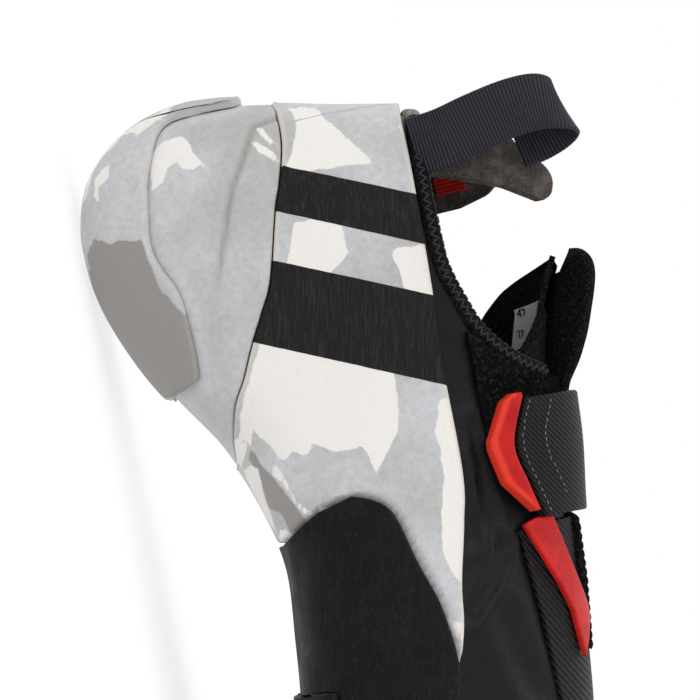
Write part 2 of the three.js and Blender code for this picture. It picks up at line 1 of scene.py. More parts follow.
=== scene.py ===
"""Climbing shoe for the right foot: its looks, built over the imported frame.

Everything follows one last, the same table of cross-sections as the solids. Lengths in the tables
are shares of the named sizes; the work is done in millimetres from the back of the heel, and each
finished mesh is moved to the frame's own origin, in metres.
"""
import math

import bpy
import numpy as np
from mathutils import Matrix, Vector


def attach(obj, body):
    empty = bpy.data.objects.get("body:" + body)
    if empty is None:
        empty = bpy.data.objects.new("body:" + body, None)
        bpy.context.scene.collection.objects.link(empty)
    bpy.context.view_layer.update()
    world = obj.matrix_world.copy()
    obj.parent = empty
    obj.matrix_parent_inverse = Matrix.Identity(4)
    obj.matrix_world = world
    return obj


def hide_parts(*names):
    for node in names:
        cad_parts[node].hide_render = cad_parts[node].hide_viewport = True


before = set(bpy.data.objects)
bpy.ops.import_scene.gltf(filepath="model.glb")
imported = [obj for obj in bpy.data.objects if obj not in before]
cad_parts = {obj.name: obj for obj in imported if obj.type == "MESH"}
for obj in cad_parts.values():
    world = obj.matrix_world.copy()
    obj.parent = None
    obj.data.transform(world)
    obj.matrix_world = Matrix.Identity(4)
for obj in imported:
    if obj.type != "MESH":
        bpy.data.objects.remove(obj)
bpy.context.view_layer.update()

bl_info = {
    "name": "Climbing shoe",
    "version": (1, 0, 0),
    "blender": (4, 5, 0),
    "location": "View3D > Sidebar > Shoe",
    "description": "Rubber, upper, tongue and strap of a down-turned climbing shoe",
    "category": "Object",
}

# Main sizes in millimetres, as in the solids
LENGTH = 262.0
HEEL_WIDTH = 60.0
BALL_WIDTH = 92.0
INSTEP_HEIGHT = 89.0
COLLAR_HEIGHT = 75.0
ARCH_RISE = 27.4
GAP = 0.3
UPPER_WALL = 1.8
SOLE_STACK = 4.0
FLAT_BITE = 0.6
LINING = -UPPER_WALL - GAP
FAR = 400.0
# Points are taken as one where they meet on a grid of this many steps per metre
MERGE_GRID = 2e5
# Where the back of the heel, the middle plane and the floor lie in the frame
ORIGIN = np.array([-131.086, -0.918, 0.0])

COLUMNS = ("along", "bottom", "top", "outer", "inner", "waist", "under", "over", "roll")
SECTIONS = np.array([
    (0.015, 0.90, 0.315, 0.00, 0.00, 0.50, 2.2, 2.2, 0),
    (0.019, 0.68, 0.405, 0.13, 0.13, 0.45, 2.2, 2.2, 0),
    (0.026, 0.48, 0.525, 0.24, 0.24, 0.40, 2.2, 2.2, 0),
    (0.037, 0.31, 0.66, 0.33, 0.33, 0.36, 2.3, 2.2, 0),
    (0.049, 0.19, 0.83, 0.39, 0.39, 0.32, 2.3, 2.2, 0),
    (0.062, 0.10, 1.00, 0.43, 0.43, 0.29, 2.3, 2.2, 0),
    (0.084, 0.03, 1.12, 0.465, 0.465, 0.27, 2.4, 2.3, 0),
    (0.112, 0.00, 1.19, 0.485, 0.485, 0.27, 2.4, 2.3, 0),
    (0.153, 0.06, 1.20, 0.49, 0.49, 0.27, 2.4, 2.3, 0),
    (0.198, 0.22, 1.13, 0.485, 0.485, 0.27, 2.4, 2.2, 0),
    (0.237, 0.42, 1.08, 0.475, 0.475, 0.27, 2.5, 2.2, 0.02),
    (0.282, 0.69, 1.05, 0.475, 0.465, 0.27, 2.5, 2.1, 0.04),
    (0.336, 0.89, 1.035, 0.49, 0.46, 0.27, 2.6, 2.0, 0.08),
    (0.390, 1.00, 1.01, 0.49, 0.44, 0.26, 2.6, 1.9, 0.15),
    (0.450, 0.96, 0.99, 0.48, 0.41, 0.25, 2.6, 1.9, 0.18),
    (0.511, 0.89, 0.975, 0.475, 0.41, 0.24, 2.7, 1.8, 0.16),
    (0.573, 0.75, 0.945, 0.465, 0.415, 0.23, 2.8, 1.8, 0.11),
    (0.634, 0.51, 0.87, 0.47, 0.44, 0.22, 3.0, 1.8, 0.04),
    (0.695, 0.24, 0.765, 0.475, 0.475, 0.22, 3.2, 1.8, 0),
    (0.756, 0.08, 0.65, 0.45, 0.49, 0.23, 3.2, 1.8, 0),
    (0.817, 0.01, 0.555, 0.39, 0.49, 0.25, 3.2, 1.8, 0),
    (0.870, 0.00, 0.48, 0.305, 0.46, 0.28, 3.0, 1.8, 0),
    (0.916, 0.03, 0.41, 0.20, 0.42, 0.32, 2.8, 1.9, 0),
    (0.950, 0.10, 0.35, 0.10, 0.37, 0.37, 2.6, 2.0, 0),
    (0.975, 0.20, 0.29, -0.01, 0.31, 0.43, 2.4, 2.1, 0),
    (0.987, 0.33, 0.24, -0.09, 0.25, 0.47, 2.2, 2.2, 0),
    (0.991, 0.50, 0.19, -0.165, 0.165, 0.50, 2.2, 2.2, 0),
])
END = len(SECTIONS) - 1.0

# Outlines in side view: share of LENGTH, share of the height that they follow
TOPLINE = [(-0.04, 1.007), (0.042, 1.007), (0.092, 1.00), (0.172, 1.00), (0.206, 1.027),
           (0.237, 1.067), (0.260, 1.133), (0.279, 1.227), (0.294, 1.387)]
RAND_TOP = [(-0.02, 0.965), (0.046, 0.967), (0.103, 0.967), (0.206, 0.953), (0.252, 0.94),
            (0.344, 0.933), (0.385, 0.907), (0.431, 0.867), (0.466, 0.847), (0.51, 0.80)]
CUP_TOP = [(-0.02, 0.52), (0.015, 0.517), (0.030, 0.528), (0.057, 0.528), (0.088, 0.506), (0.110, 0.483),
           (0.164, 0.438), (0.187, 0.404), (0.214, 0.360), (0.237, 0.326), (0.256, 0.292), (0.279, 0.270),
           (0.309, 0.247), (0.322, 0.15)]
PLATE_EDGE = [(-0.02, 0.438), (0.008, 0.438), (0.010, 0.337), (0.013, 0.270), (0.023, 0.236), (0.042, 0.213),
              (0.065, 0.191), (0.088, 0.180), (0.115, 0.169), (0.134, 0.180), (0.160, 0.213), (0.195, 0.219),
              (0.225, 0.213), (0.233, 0.197), (0.240, 0.10)]
ARCH_HEEL_SIDE = [(0.374, 0.20), (0.374, 0.326), (0.351, 0.438), (0.3465, 0.517)]
ARCH_TOP = [(0.3465, 0.517), (0.351, 0.562), (0.366, 0.607), (0.408, 0.640), (0.447, 0.674), (0.500, 0.685),
            (0.534, 0.640), (0.579, 0.579)]
ARCH_LOW = [(0.3466, 0.517), (0.351, 0.438), (0.362, 0.378), (0.3735, 0.326), (0.375, 0.2)]
TOE_EDGE = [(0.580, 0.575), (0.645, 0.475), (0.710, 0.415), (0.755, 0.45), (0.785, 0.54), (0.800, 0.70)]
STRAP_END = [(0.2955, 0.964), (0.332, 0.922), (0.365, 0.938), (0.393, 0.956)]
STRAP_TIP_END = [(0.291, 0.940), (0.296, 0.913), (0.325, 0.864), (0.333, 0.863), (0.361, 0.880),
                 (0.393, 0.953)]
OVERLAY_EDGE = [(0.397, 0.95), (0.400, 0.885), (0.470, 0.899), (0.542, 0.902), (0.600, 0.80), (0.640, 0.74),
                (0.665, 0.80), (0.672, 1.2)]
SPEAR_LOW = [(0.392, 0.94), (0.396, 0.899), (0.419, 0.925), (0.448, 0.956), (0.471, 0.974), (0.510, 0.981)]
SPEAR_HIGH = [(0.392, 0.971), (0.430, 0.992), (0.471, 1.01), (0.492, 1.0), (0.510, 0.981)]
TONGUE_NEAR_RIM = [(0.190, 1.25), (0.1935, 1.122), (0.2016, 1.108), (0.228, 1.066), (0.2485, 1.022),
                   (0.267, 0.965), (0.305, 0.84)]
TONGUE_FAR_RIM = [(0.190, 1.25), (0.194, 1.10), (0.202, 1.01), (0.212, 0.955), (0.234, 0.887), (0.275, 0.80)]
TAB_NEAR_TOP = [(-0.02, 1.24), (0.076, 1.25), (0.118, 1.345), (0.137, 1.345), (0.1435, 1.315)]
TAB_NEAR_LOW = [(-0.02, 0.82), (0.103, 0.82), (0.107, 1.04), (0.126, 1.213), (0.1435, 1.31)]
TAB_FAR_TOP = [(-0.02, 1.245), (0.099, 1.245), (0.112, 1.215), (0.122, 1.17), (0.128, 1.08), (0.1286, 0.9)]
TAB_FAR_LOW = [(-0.02, 0.82), (0.1286, 0.82)]
# Paths of the pull loops: along, across and up in shares of the loop's height, then along and up
HEEL_LOOP_PATH = [
    (0.07, 0.00, 0.00), (0.05, -0.05, 0.20), (0.00, -0.07, 0.42), (-0.045, -0.06, 0.66),
    (-0.055, -0.01, 0.85), (-0.02, 0.07, 0.97), (0.03, 0.17, 1.00), (0.08, 0.25, 0.93), (0.125, 0.28, 0.80),
    (0.15, 0.26, 0.66)]
TONGUE_LOOP_PATH = [(0.193, -0.20), (0.197, 0.35), (0.208, 0.80), (0.226, 1.00), (0.248, 0.90), (0.268, 0.45),
                    (0.286, 0.05), (0.306, -0.15)]

LOOP_LEAN = math.radians(18)
LABEL_TOP = [(0.226, 1.062), (0.240, 1.050), (0.258, 0.985)]
LABEL_LOW = [(0.226, 0.985), (0.258, 0.955)]
# Lower and upper edge of the red tab in shares of COLLAR_HEIGHT, and how the throat's trim rises in millimetres
TAPE_LOW, TAPE_TOP = 1.02, 1.107
TRIM_RISE = [(0.392, -0.9), (0.402, 1.3), (0.45, 1.7), (0.505, 0.9)]
# Numerals of the size patch: name, words, place along and up the shoe, and height, in millimetres
NUMERALS = (("size_numerals_large", "42", 60.6, 88.9, 3.0), ("size_numerals_small", "27", 64.8, 87.9, 2.4))
# The collar's stitches start this far from the back of the heel
STITCHES_FROM = 15.5

# Pattern of the outer side, marked on the photograph's view of 700 units across
RAND_PALE = [
    [(286, 107), (300, 106), (314, 107), (322, 118), (355, 148), (372, 166), (300, 176), (286, 174), (294, 150),
     (296, 130), (294, 118)],
    [(396, 127), (411, 127), (415, 145), (420, 160), (408, 152), (402, 140)],
    [(296, 225), (318, 221), (342, 226), (349, 256), (338, 268), (318, 290), (300, 300), (286, 292),
     (290, 262)],
    [(391, 252), (420, 246), (440, 270), (442, 310), (424, 300), (404, 290)],
    [(262, 342), (276, 338), (330, 352), (392, 366), (396, 384), (398, 400), (399, 412), (396, 430), (388, 450),
     (377, 473), (370, 455), (362, 445), (350, 447), (334, 451), (318, 443), (314, 438), (312, 450), (305, 455),
     (293, 448), (288, 458), (280, 455), (268, 440), (257, 430), (255, 424), (253, 446), (247, 440), (240, 437),
     (243, 410), (250, 385), (256, 365)],
    [(438, 398), (449, 398), (456, 430), (461, 470), (465, 520), (464, 580), (455, 572), (442, 552), (440, 520),
     (443, 475), (440, 450), (433, 430), (437, 415)],
    [(447, 608), (458, 616), (468, 618), (471, 634), (457, 633)],
    [(242, 468), (250, 462), (259, 466), (263, 490), (272, 515), (276, 530), (264, 515), (252, 490)],
    [(276, 460), (281, 468), (290, 480), (298, 498), (316, 512), (308, 512), (296, 500), (283, 480),
     (274, 472)],
    [(280, 527), (287, 526), (293, 540), (286, 549), (278, 535)],
    [(304, 528), (315, 518), (321, 500), (330, 512), (318, 520)],
    [(221, 440), (240, 437), (247, 444), (241, 466), (230, 452)],
]
RAND_DARK = [
    [(253, 446), (262, 462), (270, 470), (284, 486), (306, 516), (300, 534), (292, 530), (283, 512), (268, 505),
     (262, 480), (250, 458)],
]
CUP_PALE = [
    [(153, 156), (164, 141), (182, 138), (191, 146), (198, 160), (211, 172), (202, 169), (195, 175), (185, 172),
     (179, 164), (170, 172), (166, 184), (155, 193), (153, 175)],
    [(251, 144), (259, 146), (274, 155), (280, 163), (280, 166), (271, 161), (259, 155)],
    [(255, 127), (264, 133), (276, 148), (268, 144), (258, 134)],
]
PLATE_PALE = [
    [(170, 102), (146, 113), (121, 127), (104, 141), (91, 160), (83, 178), (79, 200), (84, 196), (89, 172),
     (98, 156), (110, 146), (118, 135), (127, 130), (135, 134), (144, 129), (166, 112)],
    [(110, 163), (101, 170), (94, 178), (94, 196), (100, 202), (98, 187), (109, 178)],
]
PLATE_DARK = [
    [(95, 239), (104, 241), (114, 245), (120, 241), (132, 242), (146, 242), (152, 264), (164, 290), (190, 320),
     (200, 384), (196, 404), (181, 405), (150, 390), (115, 350), (88, 290), (86, 252)],
]
RAND_BANDS = [[(240, 160), (450, 204), (450, 252), (240, 206)], [(225, 252), (470, 304), (470, 390), (225, 336)]]
CREASES = [  # line, width and depth in millimetres
    ([(498, 540), (496, 560), (488, 580), (479, 597), (468, 610)], 1.3, 1.0),
    ([(472, 420), (476, 455), (483, 490), (491, 522), (498, 540)], 1.1, 0.6),
    ([(452, 470), (462, 500), (470, 536)], 1.6, 0.4),
    ([(500, 610), (515, 650), (536, 690)], 2.2, 0.45),
]
CUP_GROOVE = [(280, 116), (254, 127), (251, 137), (244, 164), (236, 187), (230, 218), (225, 256), (221, 287),
              (219, 320)]
# How the view's left-to-right runs along and up the shoe, its scale, and where the shoe lies in it
VIEW_ALONG, VIEW_UP = 0.208, 0.978
UNITS_PER_MM = 4.7
VIEW_START = (135, 29)
NEARER_FLANK = (1.0, 0.75)

# Where pieces start and end, in shares of LENGTH from the back of the heel; CURLS is how many there are
COLLAR_FROM, COLLAR_TO = 0.035, 0.2935
CUP_TO, CUP_FRONT = 0.322, 0.318
PLATE_TO = 0.2345
RAND_FROM, RAND_TO = 0.01, 0.51
ARCH_FROM, ARCH_TO = 0.3466, 0.579
ARCH_NOTCH = (0.4934, 0.4945)
TOE_FROM, OUTSOLE_FROM = 0.58, 0.495
FOOTBED_FROM, FOOTBED_TO = 0.05, 0.95
THROAT_FROM, THROAT_TO = 0.25, 0.40
TAB_FROM, TAB_NEAR_TO, TAB_FAR_TO = 0.025, 0.1435, 0.1285
TAPE_FROM, TAPE_TO = 0.092, 0.111
TONGUE_FROM, TONGUE_TO = 0.1935, 0.43
LABEL_FROM, LABEL_TO = 0.226, 0.258
PATCH_FROM, PATCH_TO = 0.236, 0.320
CURLS_FROM, CURLS_TO, CURLS = 0.238, 0.312, 2200
STRAP_FROM, STRAP_TO = 0.2965, 0.393
SEWN_FROM, SEWN_TO = 0.2985, 0.391
TRIM_FROM, TRIM_TO = 0.384, 0.505
TIP_FROM, TIP_TO = 0.2915, 0.387
SPEAR_FROM, SPEAR_TO = 0.3925, 0.5095
OVERLAY_FROM, OVERLAY_TO = 0.397, 0.672

# Measures in millimetres that follow the solids
TAPE_WALL = 0.9
PATCH_WALL = 1.4
OVERLAY_WALL = 0.9
SOLE_RIM = 6.5
THROAT_HALF = (8, 5.33)


def marked(rows):
    """Marks on the photograph's view as millimetres along and up the shoe, on its outer side."""
    return [((VIEW_ALONG * x + VIEW_UP * y - VIEW_START[0]) / UNITS_PER_MM + NEARER_FLANK[0],
             (VIEW_UP * x - VIEW_ALONG * y - VIEW_START[1]) / UNITS_PER_MM + NEARER_FLANK[1]) for x, y in rows]


def column(name, place):
    """Smooth value of one column of the section table, at places counted in rows."""
    table = SECTIONS[:, COLUMNS.index(name)]
    place = np.asarray(place, float)
    row = np.clip(np.floor(place).astype(int), 0, len(table) - 2)
    at = lambda i: table[np.clip(i, 0, len(table) - 1)]
    t = place - row
    before = (at(row + 1) - at(row - 1)) / 2
    after = (at(row + 2) - at(row)) / 2
    step = at(row + 1) - at(row)
    return at(row) + before * t + (3 * step - 2 * before - after) * t ** 2 + (before + after - 2 * step) * t ** 3


def smoothstep(value, low, high):
    """Rises softly from 0 to 1 between two values."""
    t = np.clip((np.asarray(value, float) - low) / (high - low), 0, 1)
    return t * t * (3 - 2 * t)


def run_of(points):
    """Distance along a line of points from its start."""
    return np.concatenate([[0], np.cumsum(np.linalg.norm(np.diff(points, axis=0), axis=1))])


def section(place):
    """The last's cross-section at places counted in rows."""
    along = column("along", place)
    width = HEEL_WIDTH + (BALL_WIDTH - HEEL_WIDTH) * smoothstep(along, 0.30, 0.65)
    bottom = SOLE_STACK - FLAT_BITE + column("bottom", place) * ARCH_RISE
    top = np.maximum(bottom, column("top", place) * INSTEP_HEIGHT)
    outer, inner = column("outer", place) * width, column("inner", place) * width
    return {"x": along * LENGTH, "middle": (inner - outer) / 2, "half": np.maximum(0, (inner + outer) / 2),
            "bottom": bottom, "top": top, "widest": bottom + column("waist", place) * (top - bottom),
            "under": column("under", place), "over": column("over", place),
            "roll": column("roll", place) * ARCH_RISE}


def on_last(turn, place):
    """Points of the last: turn 0 is the inner side, 0.25 the top, 0.5 the outer side, 0.75 the bottom."""
    s = section(place)
    across, up = np.cos(turn * 2 * np.pi), np.sin(turn * 2 * np.pi)
    power = 2 / np.where(up > 0, s["over"], s["under"])
    reach = np.where(up > 0, s["top"] - s["widest"], s["widest"] - s["bottom"])
    side = np.sign(across) * np.abs(across) ** power
    lift = np.where(up < 0, s["roll"] * np.maximum(0, side) * np.abs(up), 0)
    height = s["widest"] + reach * np.sign(up) * np.abs(up) ** power + lift
    return np.stack(np.broadcast_arrays(s["x"], s["middle"] + s["half"] * side, height), -1)


def outward(turn, place):
    """Outward directions of the last."""
    step = 0.004
    here = np.clip(place, 0.02, END - 0.02)
    around = on_last(turn + step, here) - on_last(turn - step, here)
    along = on_last(turn, np.minimum(END, here + step * 4)) - on_last(turn, np.maximum(0, here - step * 4))
    normal = np.cross(around, along)
    return normal / np.maximum(1e-9, np.linalg.norm(normal, axis=-1, keepdims=True))


def grown(turn, place, distance):
    """Points at a distance outside the last; at the two ends of the last the rings close to one point."""
    turn, place = np.broadcast_arrays(np.asarray(turn, float), np.asarray(place, float))
    point, normal = on_last(turn, place), outward(turn, place)
    for end, way in ((0.0, -1.0), (END, 1.0)):
        near = np.clip(1 - np.abs(place - end) / 0.25, 0, 1)[..., None]
        normal = normal * (1 - near) + np.array([way, 0, 0]) * near
    normal /= np.linalg.norm(normal, axis=-1, keepdims=True)
    return point + normal * np.asarray(distance)[..., None]


def near_point(side, x, z, distance):
    """The point at a distance from the last that has these lengths along and up, on one side."""
    turns = np.linspace(0.25, 0.6, 241)
    rows = grown(turns if side < 0 else 0.5 - turns, place_at(x), distance)
    return rows[np.argmin(np.abs(rows[:, 2] - z))]


ALL_PLACES = np.linspace(0, END, 4000)
ALL_LENGTHS = column("along", ALL_PLACES) * LENGTH


def place_at(x):
    """The place, counted in rows, at distances from the heel."""
    return np.interp(x, ALL_LENGTHS, ALL_PLACES)


def spline(rows, steps=8):
    """A smooth line through points."""
    pts = np.array(rows, float)
    out = []
    for i in range(len(pts) - 1):
        p0, p1, p2, p3 = pts[max(i - 1, 0)], pts[i], pts[i + 1], pts[min(i + 2, len(pts) - 1)]
        v0, v1 = (p2 - p0) / 2, (p3 - p1) / 2
        for k in range(steps):
            t = k / steps
            out.append((2 * p1 - 2 * p2 + v0 + v1) * t ** 3
                       + (-3 * p1 + 3 * p2 - 2 * v0 - v1) * t ** 2 + v0 * t + p1)
    out.append(pts[-1])
    return np.array(out)


def line(rows, height, after=None, rise=0.0):
    """Height of a smooth outline over the length; it keeps its ends, or is after beyond the front one."""
    pts = spline(rows) * (LENGTH, height)
    x = np.maximum.accumulate(pts[:, 0])
    x = x + np.arange(len(x)) * 1e-6
    return lambda at: np.interp(at, x, pts[:, 1], right=after) + rise


def straight(rows, height, after=None):
    """The same for an outline that runs straight from point to point."""
    pts = np.array(rows, float) * (LENGTH, height)
    return lambda at: np.interp(at, pts[:, 0], pts[:, 1], right=after)


def from_run(x, z, ax, az, bx, bz):
    """Distance of points from a straight run."""
    dx, dz = bx - ax, bz - az
    t = np.clip(((x - ax) * dx + (z - az) * dz) / max(1e-9, dx * dx + dz * dz), 0, 1)
    return np.hypot(x - ax - t * dx, z - az - t * dz)


def inside_by(x, z, outlines):
    """How far points lie inside the nearest of several outlines; negative outside, in millimetres."""
    best = np.full(np.shape(x), -1e3)
    for outline in outlines:
        pts = np.array(outline, float)
        near = np.full(np.shape(x), 1e9)
        within = np.zeros(np.shape(x), bool)
        for (ax, az), (bx, bz) in zip(pts, np.roll(pts, -1, axis=0)):
            near = np.minimum(near, from_run(x, z, ax, az, bx, bz))
            dz = bz - az
            within ^= ((az > z) != (bz > z)) & (x < (bx - ax) * (z - az) / (dz if dz else 1e-9) + ax)
        best = np.maximum(best, np.where(within, near, -near))
    return best


def off_line(x, z, pts):
    """Distance of points from an open line."""
    pts = np.array(pts, float)
    near = np.full(np.shape(x), 1e9)
    for (ax, az), (bx, bz) in zip(pts[:-1], pts[1:]):
        near = np.minimum(near, from_run(x, z, ax, az, bx, bz))
    return near


def in_marks(x, z, areas):
    """How far points lie inside areas that were marked."""
    return inside_by(x, z, [marked(area) for area in areas])


def stations(start, end, pitch, free_start=False, free_end=False, lip=0.8):
    """Places between two shares of LENGTH, even over the surface and closer together at a free edge."""
    low = 0.0 if start is None else float(place_at(start * LENGTH))
    high = END if end is None else float(place_at(end * LENGTH))
    fine = np.linspace(low, high, 600)
    ways = sum(np.linalg.norm(np.diff(on_last(t, fine), axis=0), axis=1) for t in (0.25, 0.5, 0.75)) / 3
    run = np.concatenate([[0], np.cumsum(ways)])
    marks = np.linspace(0, run[-1], max(4, int(run[-1] / pitch)) + 1)
    near = lip * np.array([0.08, 0.2, 0.4, 0.65, 1.0])
    if free_start:
        marks = np.concatenate([[0], near, marks[marks > lip * 1.2]])
    if free_end:
        marks = np.concatenate([marks[marks < run[-1] - lip * 1.2], run[-1] - near[::-1], [run[-1]]])
    return np.interp(marks, run, fine)


def closer(places, *spans):
    """Places with more of them between shares of LENGTH. Each span: from, to, how many."""
    more = [place_at(np.linspace(start, end, count) * LENGTH) for start, end, count in spans]
    return np.unique(np.concatenate([places, *more]))


class Shell:
    """Gathers walls that lie on the last, and makes one closed mesh of them."""

    def __init__(self):
        self.points, self.faces, self.facts, self.count = [], [], {}, 0

    def add(self, points, faces, **facts):
        self.points.append(points)
        self.faces += [tuple(i + self.count for i in face) for face in faces]
        for name, value in facts.items():
            self.facts.setdefault(name, []).append(np.broadcast_to(value, (len(points),)))
        self.count += len(points)

    def wall(self, side, places, high, low, outer, inner, lip=0.8, pitch=1.0, ends=(False, False), slot=None,
             relief=None, paint=None, base=None, hold_low=False):
        """One half of a layer: side -1 is the outer side of the foot, 1 the inner one.

        high and low are heights over the length, or None for the middle of the top or the bottom.
        outer and inner are distances from the last. relief changes the outside, paint gives facts for
        the finish; both get x, z and the distance from the free edge. Points are spaced evenly from
        the high edge down, or from the low edge up with hold_low.
        """
        rows = len(places)
        base = base if base is not None else outer
        turns = np.linspace(0.25, 0.75, 181)
        grid_t, grid_p = np.meshgrid(turns, places)
        points = grown(grid_t if side < 0 else 0.5 - grid_t, grid_p, base)

        def falls(over, first):
            """Turns at which a value falls through nought, just before the first turn past it."""
            i = np.clip(first, 1, len(turns) - 1)
            a, b = over[np.arange(rows), i - 1], over[np.arange(rows), i]
            return turns[i - 1] + (turns[i] - turns[i - 1]) * np.clip(a / np.where(a - b == 0, 1e-9, a - b), 0, 1)

        def crossing(height):
            over = points[..., 2] - height(points[..., 0])
            below = over <= 0
            first = np.argmax(below, axis=1)
            return np.where(below.any(axis=1), np.where(first == 0, 0.25, falls(over, first)), 0.75)

        top = crossing(high) if high else np.full(rows, 0.25)
        end = crossing(low) if low else np.full(rows, 0.75)
        if slot is not None:
            half = slot(section(places)["x"])
            over = half[:, None] - np.abs(points[..., 1])
            first = np.argmax((over <= 0) | (grid_t > 0.45), axis=1)
            top = np.maximum(top, np.where(half > 0, falls(over, first), 0.25))
        end = np.maximum(end, top)
        high_free, low_free = top > 0.2501, end < 0.7499

        fine_t = top[:, None] + (end - top)[:, None] * np.linspace(0, 1, 161)
        fine = grown(fine_t if side < 0 else 0.5 - fine_t, places[:, None], base)
        steps = np.linalg.norm(np.diff(fine, axis=1), axis=2)
        run = np.concatenate([np.zeros((rows, 1)), np.cumsum(steps, axis=1)], 1)
        size = run[:, -1]
        count = max(6, int(np.max(size) / pitch))
        edge = lip * np.array([0, 0.08, 0.2, 0.4, 0.65, 1.0])
        even = np.arange(1, count - 1) * (np.max(size) - 2 * lip) / (count - 1)
        marks = []
        for r in range(rows):
            reach = min(lip, size[r] * 0.45)
            k = reach / lip
            spread = np.minimum(reach + even, size[r] - reach)
            found = np.concatenate([edge * k, spread, size[r] - edge[::-1] * k])
            marks.append(size[r] - found[::-1] if hold_low else found)
        marks = np.array(marks)
        turn = np.array([np.interp(marks[r], run[r], fine_t[r]) if size[r] > 1e-6
                         else np.full(marks.shape[1], top[r]) for r in range(rows)])
        place = places[:, None]
        real = turn if side < 0 else 0.5 - turn
        centre = grown(real, place, base)
        rim = np.full(turn.shape, 50.0)
        rim = np.where(high_free[:, None], np.minimum(rim, marks), rim)
        rim = np.where(low_free[:, None], np.minimum(rim, size[:, None] - marks), rim)
        steps = np.linalg.norm(np.diff(centre, axis=0), axis=2)
        along = np.concatenate([np.zeros((1, turn.shape[1])), np.cumsum(steps, axis=0)])
        if ends[0]:
            rim = np.minimum(rim, along)
        if ends[1]:
            rim = np.minimum(rim, along[-1] - along)
        drop = lip - np.sqrt(np.maximum(0, lip ** 2 - np.maximum(0, lip - rim) ** 2))
        x, z = centre[..., 0], centre[..., 2]
        normal = outward(real, place)
        out = outer(normal, x, z) if callable(outer) else outer
        into = inner(normal, x, z) if callable(inner) else inner
        raised = relief(x, z, rim) if relief else 0.0
        outside = grown(real, place, np.maximum(out - np.minimum(drop, (out - into) * 0.8) + raised, into + 0.05))
        inside = grown(real, place, into)
        facts = {"rim": rim, "across": marks - size[:, None] / 2}
        if paint:
            facts.update(paint(x, z, rim))

        flip = side < 0
        index = np.arange(turn.size).reshape(turn.shape)
        under = index + turn.size
        quads = []

        def sheet(ids, turned):
            a, b, c, d = ids[:-1, :-1], ids[:-1, 1:], ids[1:, 1:], ids[1:, :-1]
            quads.append(np.stack([a, b, c, d] if turned else [a, d, c, b], -1).reshape(-1, 4))

        def strip(first, second, turned, keep=slice(None)):
            found = np.stack([first[:-1], first[1:], second[1:], second[:-1]], -1)[keep]
            quads.append(found[:, ::-1] if turned else found)

        sheet(index, flip)
        sheet(under, not flip)
        strip(index[:, 0], under[:, 0], not flip, high_free[:-1] | high_free[1:])
        strip(index[:, -1], under[:, -1], flip, low_free[:-1] | low_free[1:])
        if ends[0]:
            strip(index[0], under[0], flip)
        if ends[1]:
            strip(index[-1], under[-1], not flip)
        both = {name: np.concatenate([value.ravel(), value.ravel()]) for name, value in facts.items()}
        self.add(np.concatenate([outside.reshape(-1, 3), inside.reshape(-1, 3)]),
                 [tuple(q) for q in np.concatenate(quads).tolist()], **both)

    def walls(self, *where, **how):
        """The same wall on the outer side and on the inner side."""
        for side in (-1, 1):
            self.wall(side, *where, **how)

    def make(self, name, finish, floor=False):
        """The piece, with points that meet made one, flat where it stands on the floor."""
        points = np.concatenate(self.points)
        if floor:
            points[:, 2] = np.maximum(points[:, 2], 0)
        keys = np.round(to_frame(points) * MERGE_GRID).astype(np.int64)
        _, first, back = np.unique(keys, axis=0, return_index=True, return_inverse=True)
        back = back.ravel()
        faces, seen = [], set()
        for face in self.faces:
            ids = list(dict.fromkeys(int(back[i]) for i in face))
            key = tuple(sorted(ids))
            if len(ids) > 2 and key not in seen:
                seen.add(key)
                faces.append(ids)
        facts = {fact: np.concatenate(parts)[first] for fact, parts in self.facts.items()}
        return build(name, points[first], faces, finish, facts)


def to_frame(points):
    """Millimetres from the back of the heel as metres in the frame."""
    return (points + ORIGIN) / 1000


def set_fact(mesh, name, values):
    """Gives each point a value that the finishes read."""
    layer = mesh.attributes.new(name, "FLOAT", "POINT")
    layer.data.foreach_set("value", np.asarray(values).astype(np.float32))


def build(name, points, faces, finish, facts=None, smooth_angle=50):
    """A piece from its points in millimetres, its faces, its finish and the facts of its points."""
    mesh = bpy.data.meshes.new(name)
    mesh.from_pydata(to_frame(points).tolist(), [], faces)
    for fact, values in (facts or {}).items():
        set_fact(mesh, fact, values)
    piece = bpy.data.objects.new(name, mesh)
    bpy.context.scene.collection.objects.link(piece)
    settle(piece, smooth_angle)
    mesh.materials.append(finish)
    return piece


def only(piece):
    """Selects one piece alone and makes it active."""
    bpy.ops.object.select_all(action="DESELECT")
    piece.select_set(True)
    bpy.context.view_layer.objects.active = piece


def settle(piece, smooth_angle):
    """Normals outward, smooth shading with hard edges kept."""
    only(piece)
    bpy.ops.object.mode_set(mode="EDIT")
    bpy.ops.mesh.select_all(action="SELECT")
    bpy.ops.mesh.normals_make_consistent(inside=False)
    bpy.ops.object.mode_set(mode="OBJECT")
    bpy.ops.object.shade_smooth_by_angle(angle=math.radians(smooth_angle))


def dress(piece, slot, *nodes):
    """Rides the shoe and stands for the solids named; slot is not used."""
    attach(piece, "root")
    if nodes:
        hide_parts(*nodes)


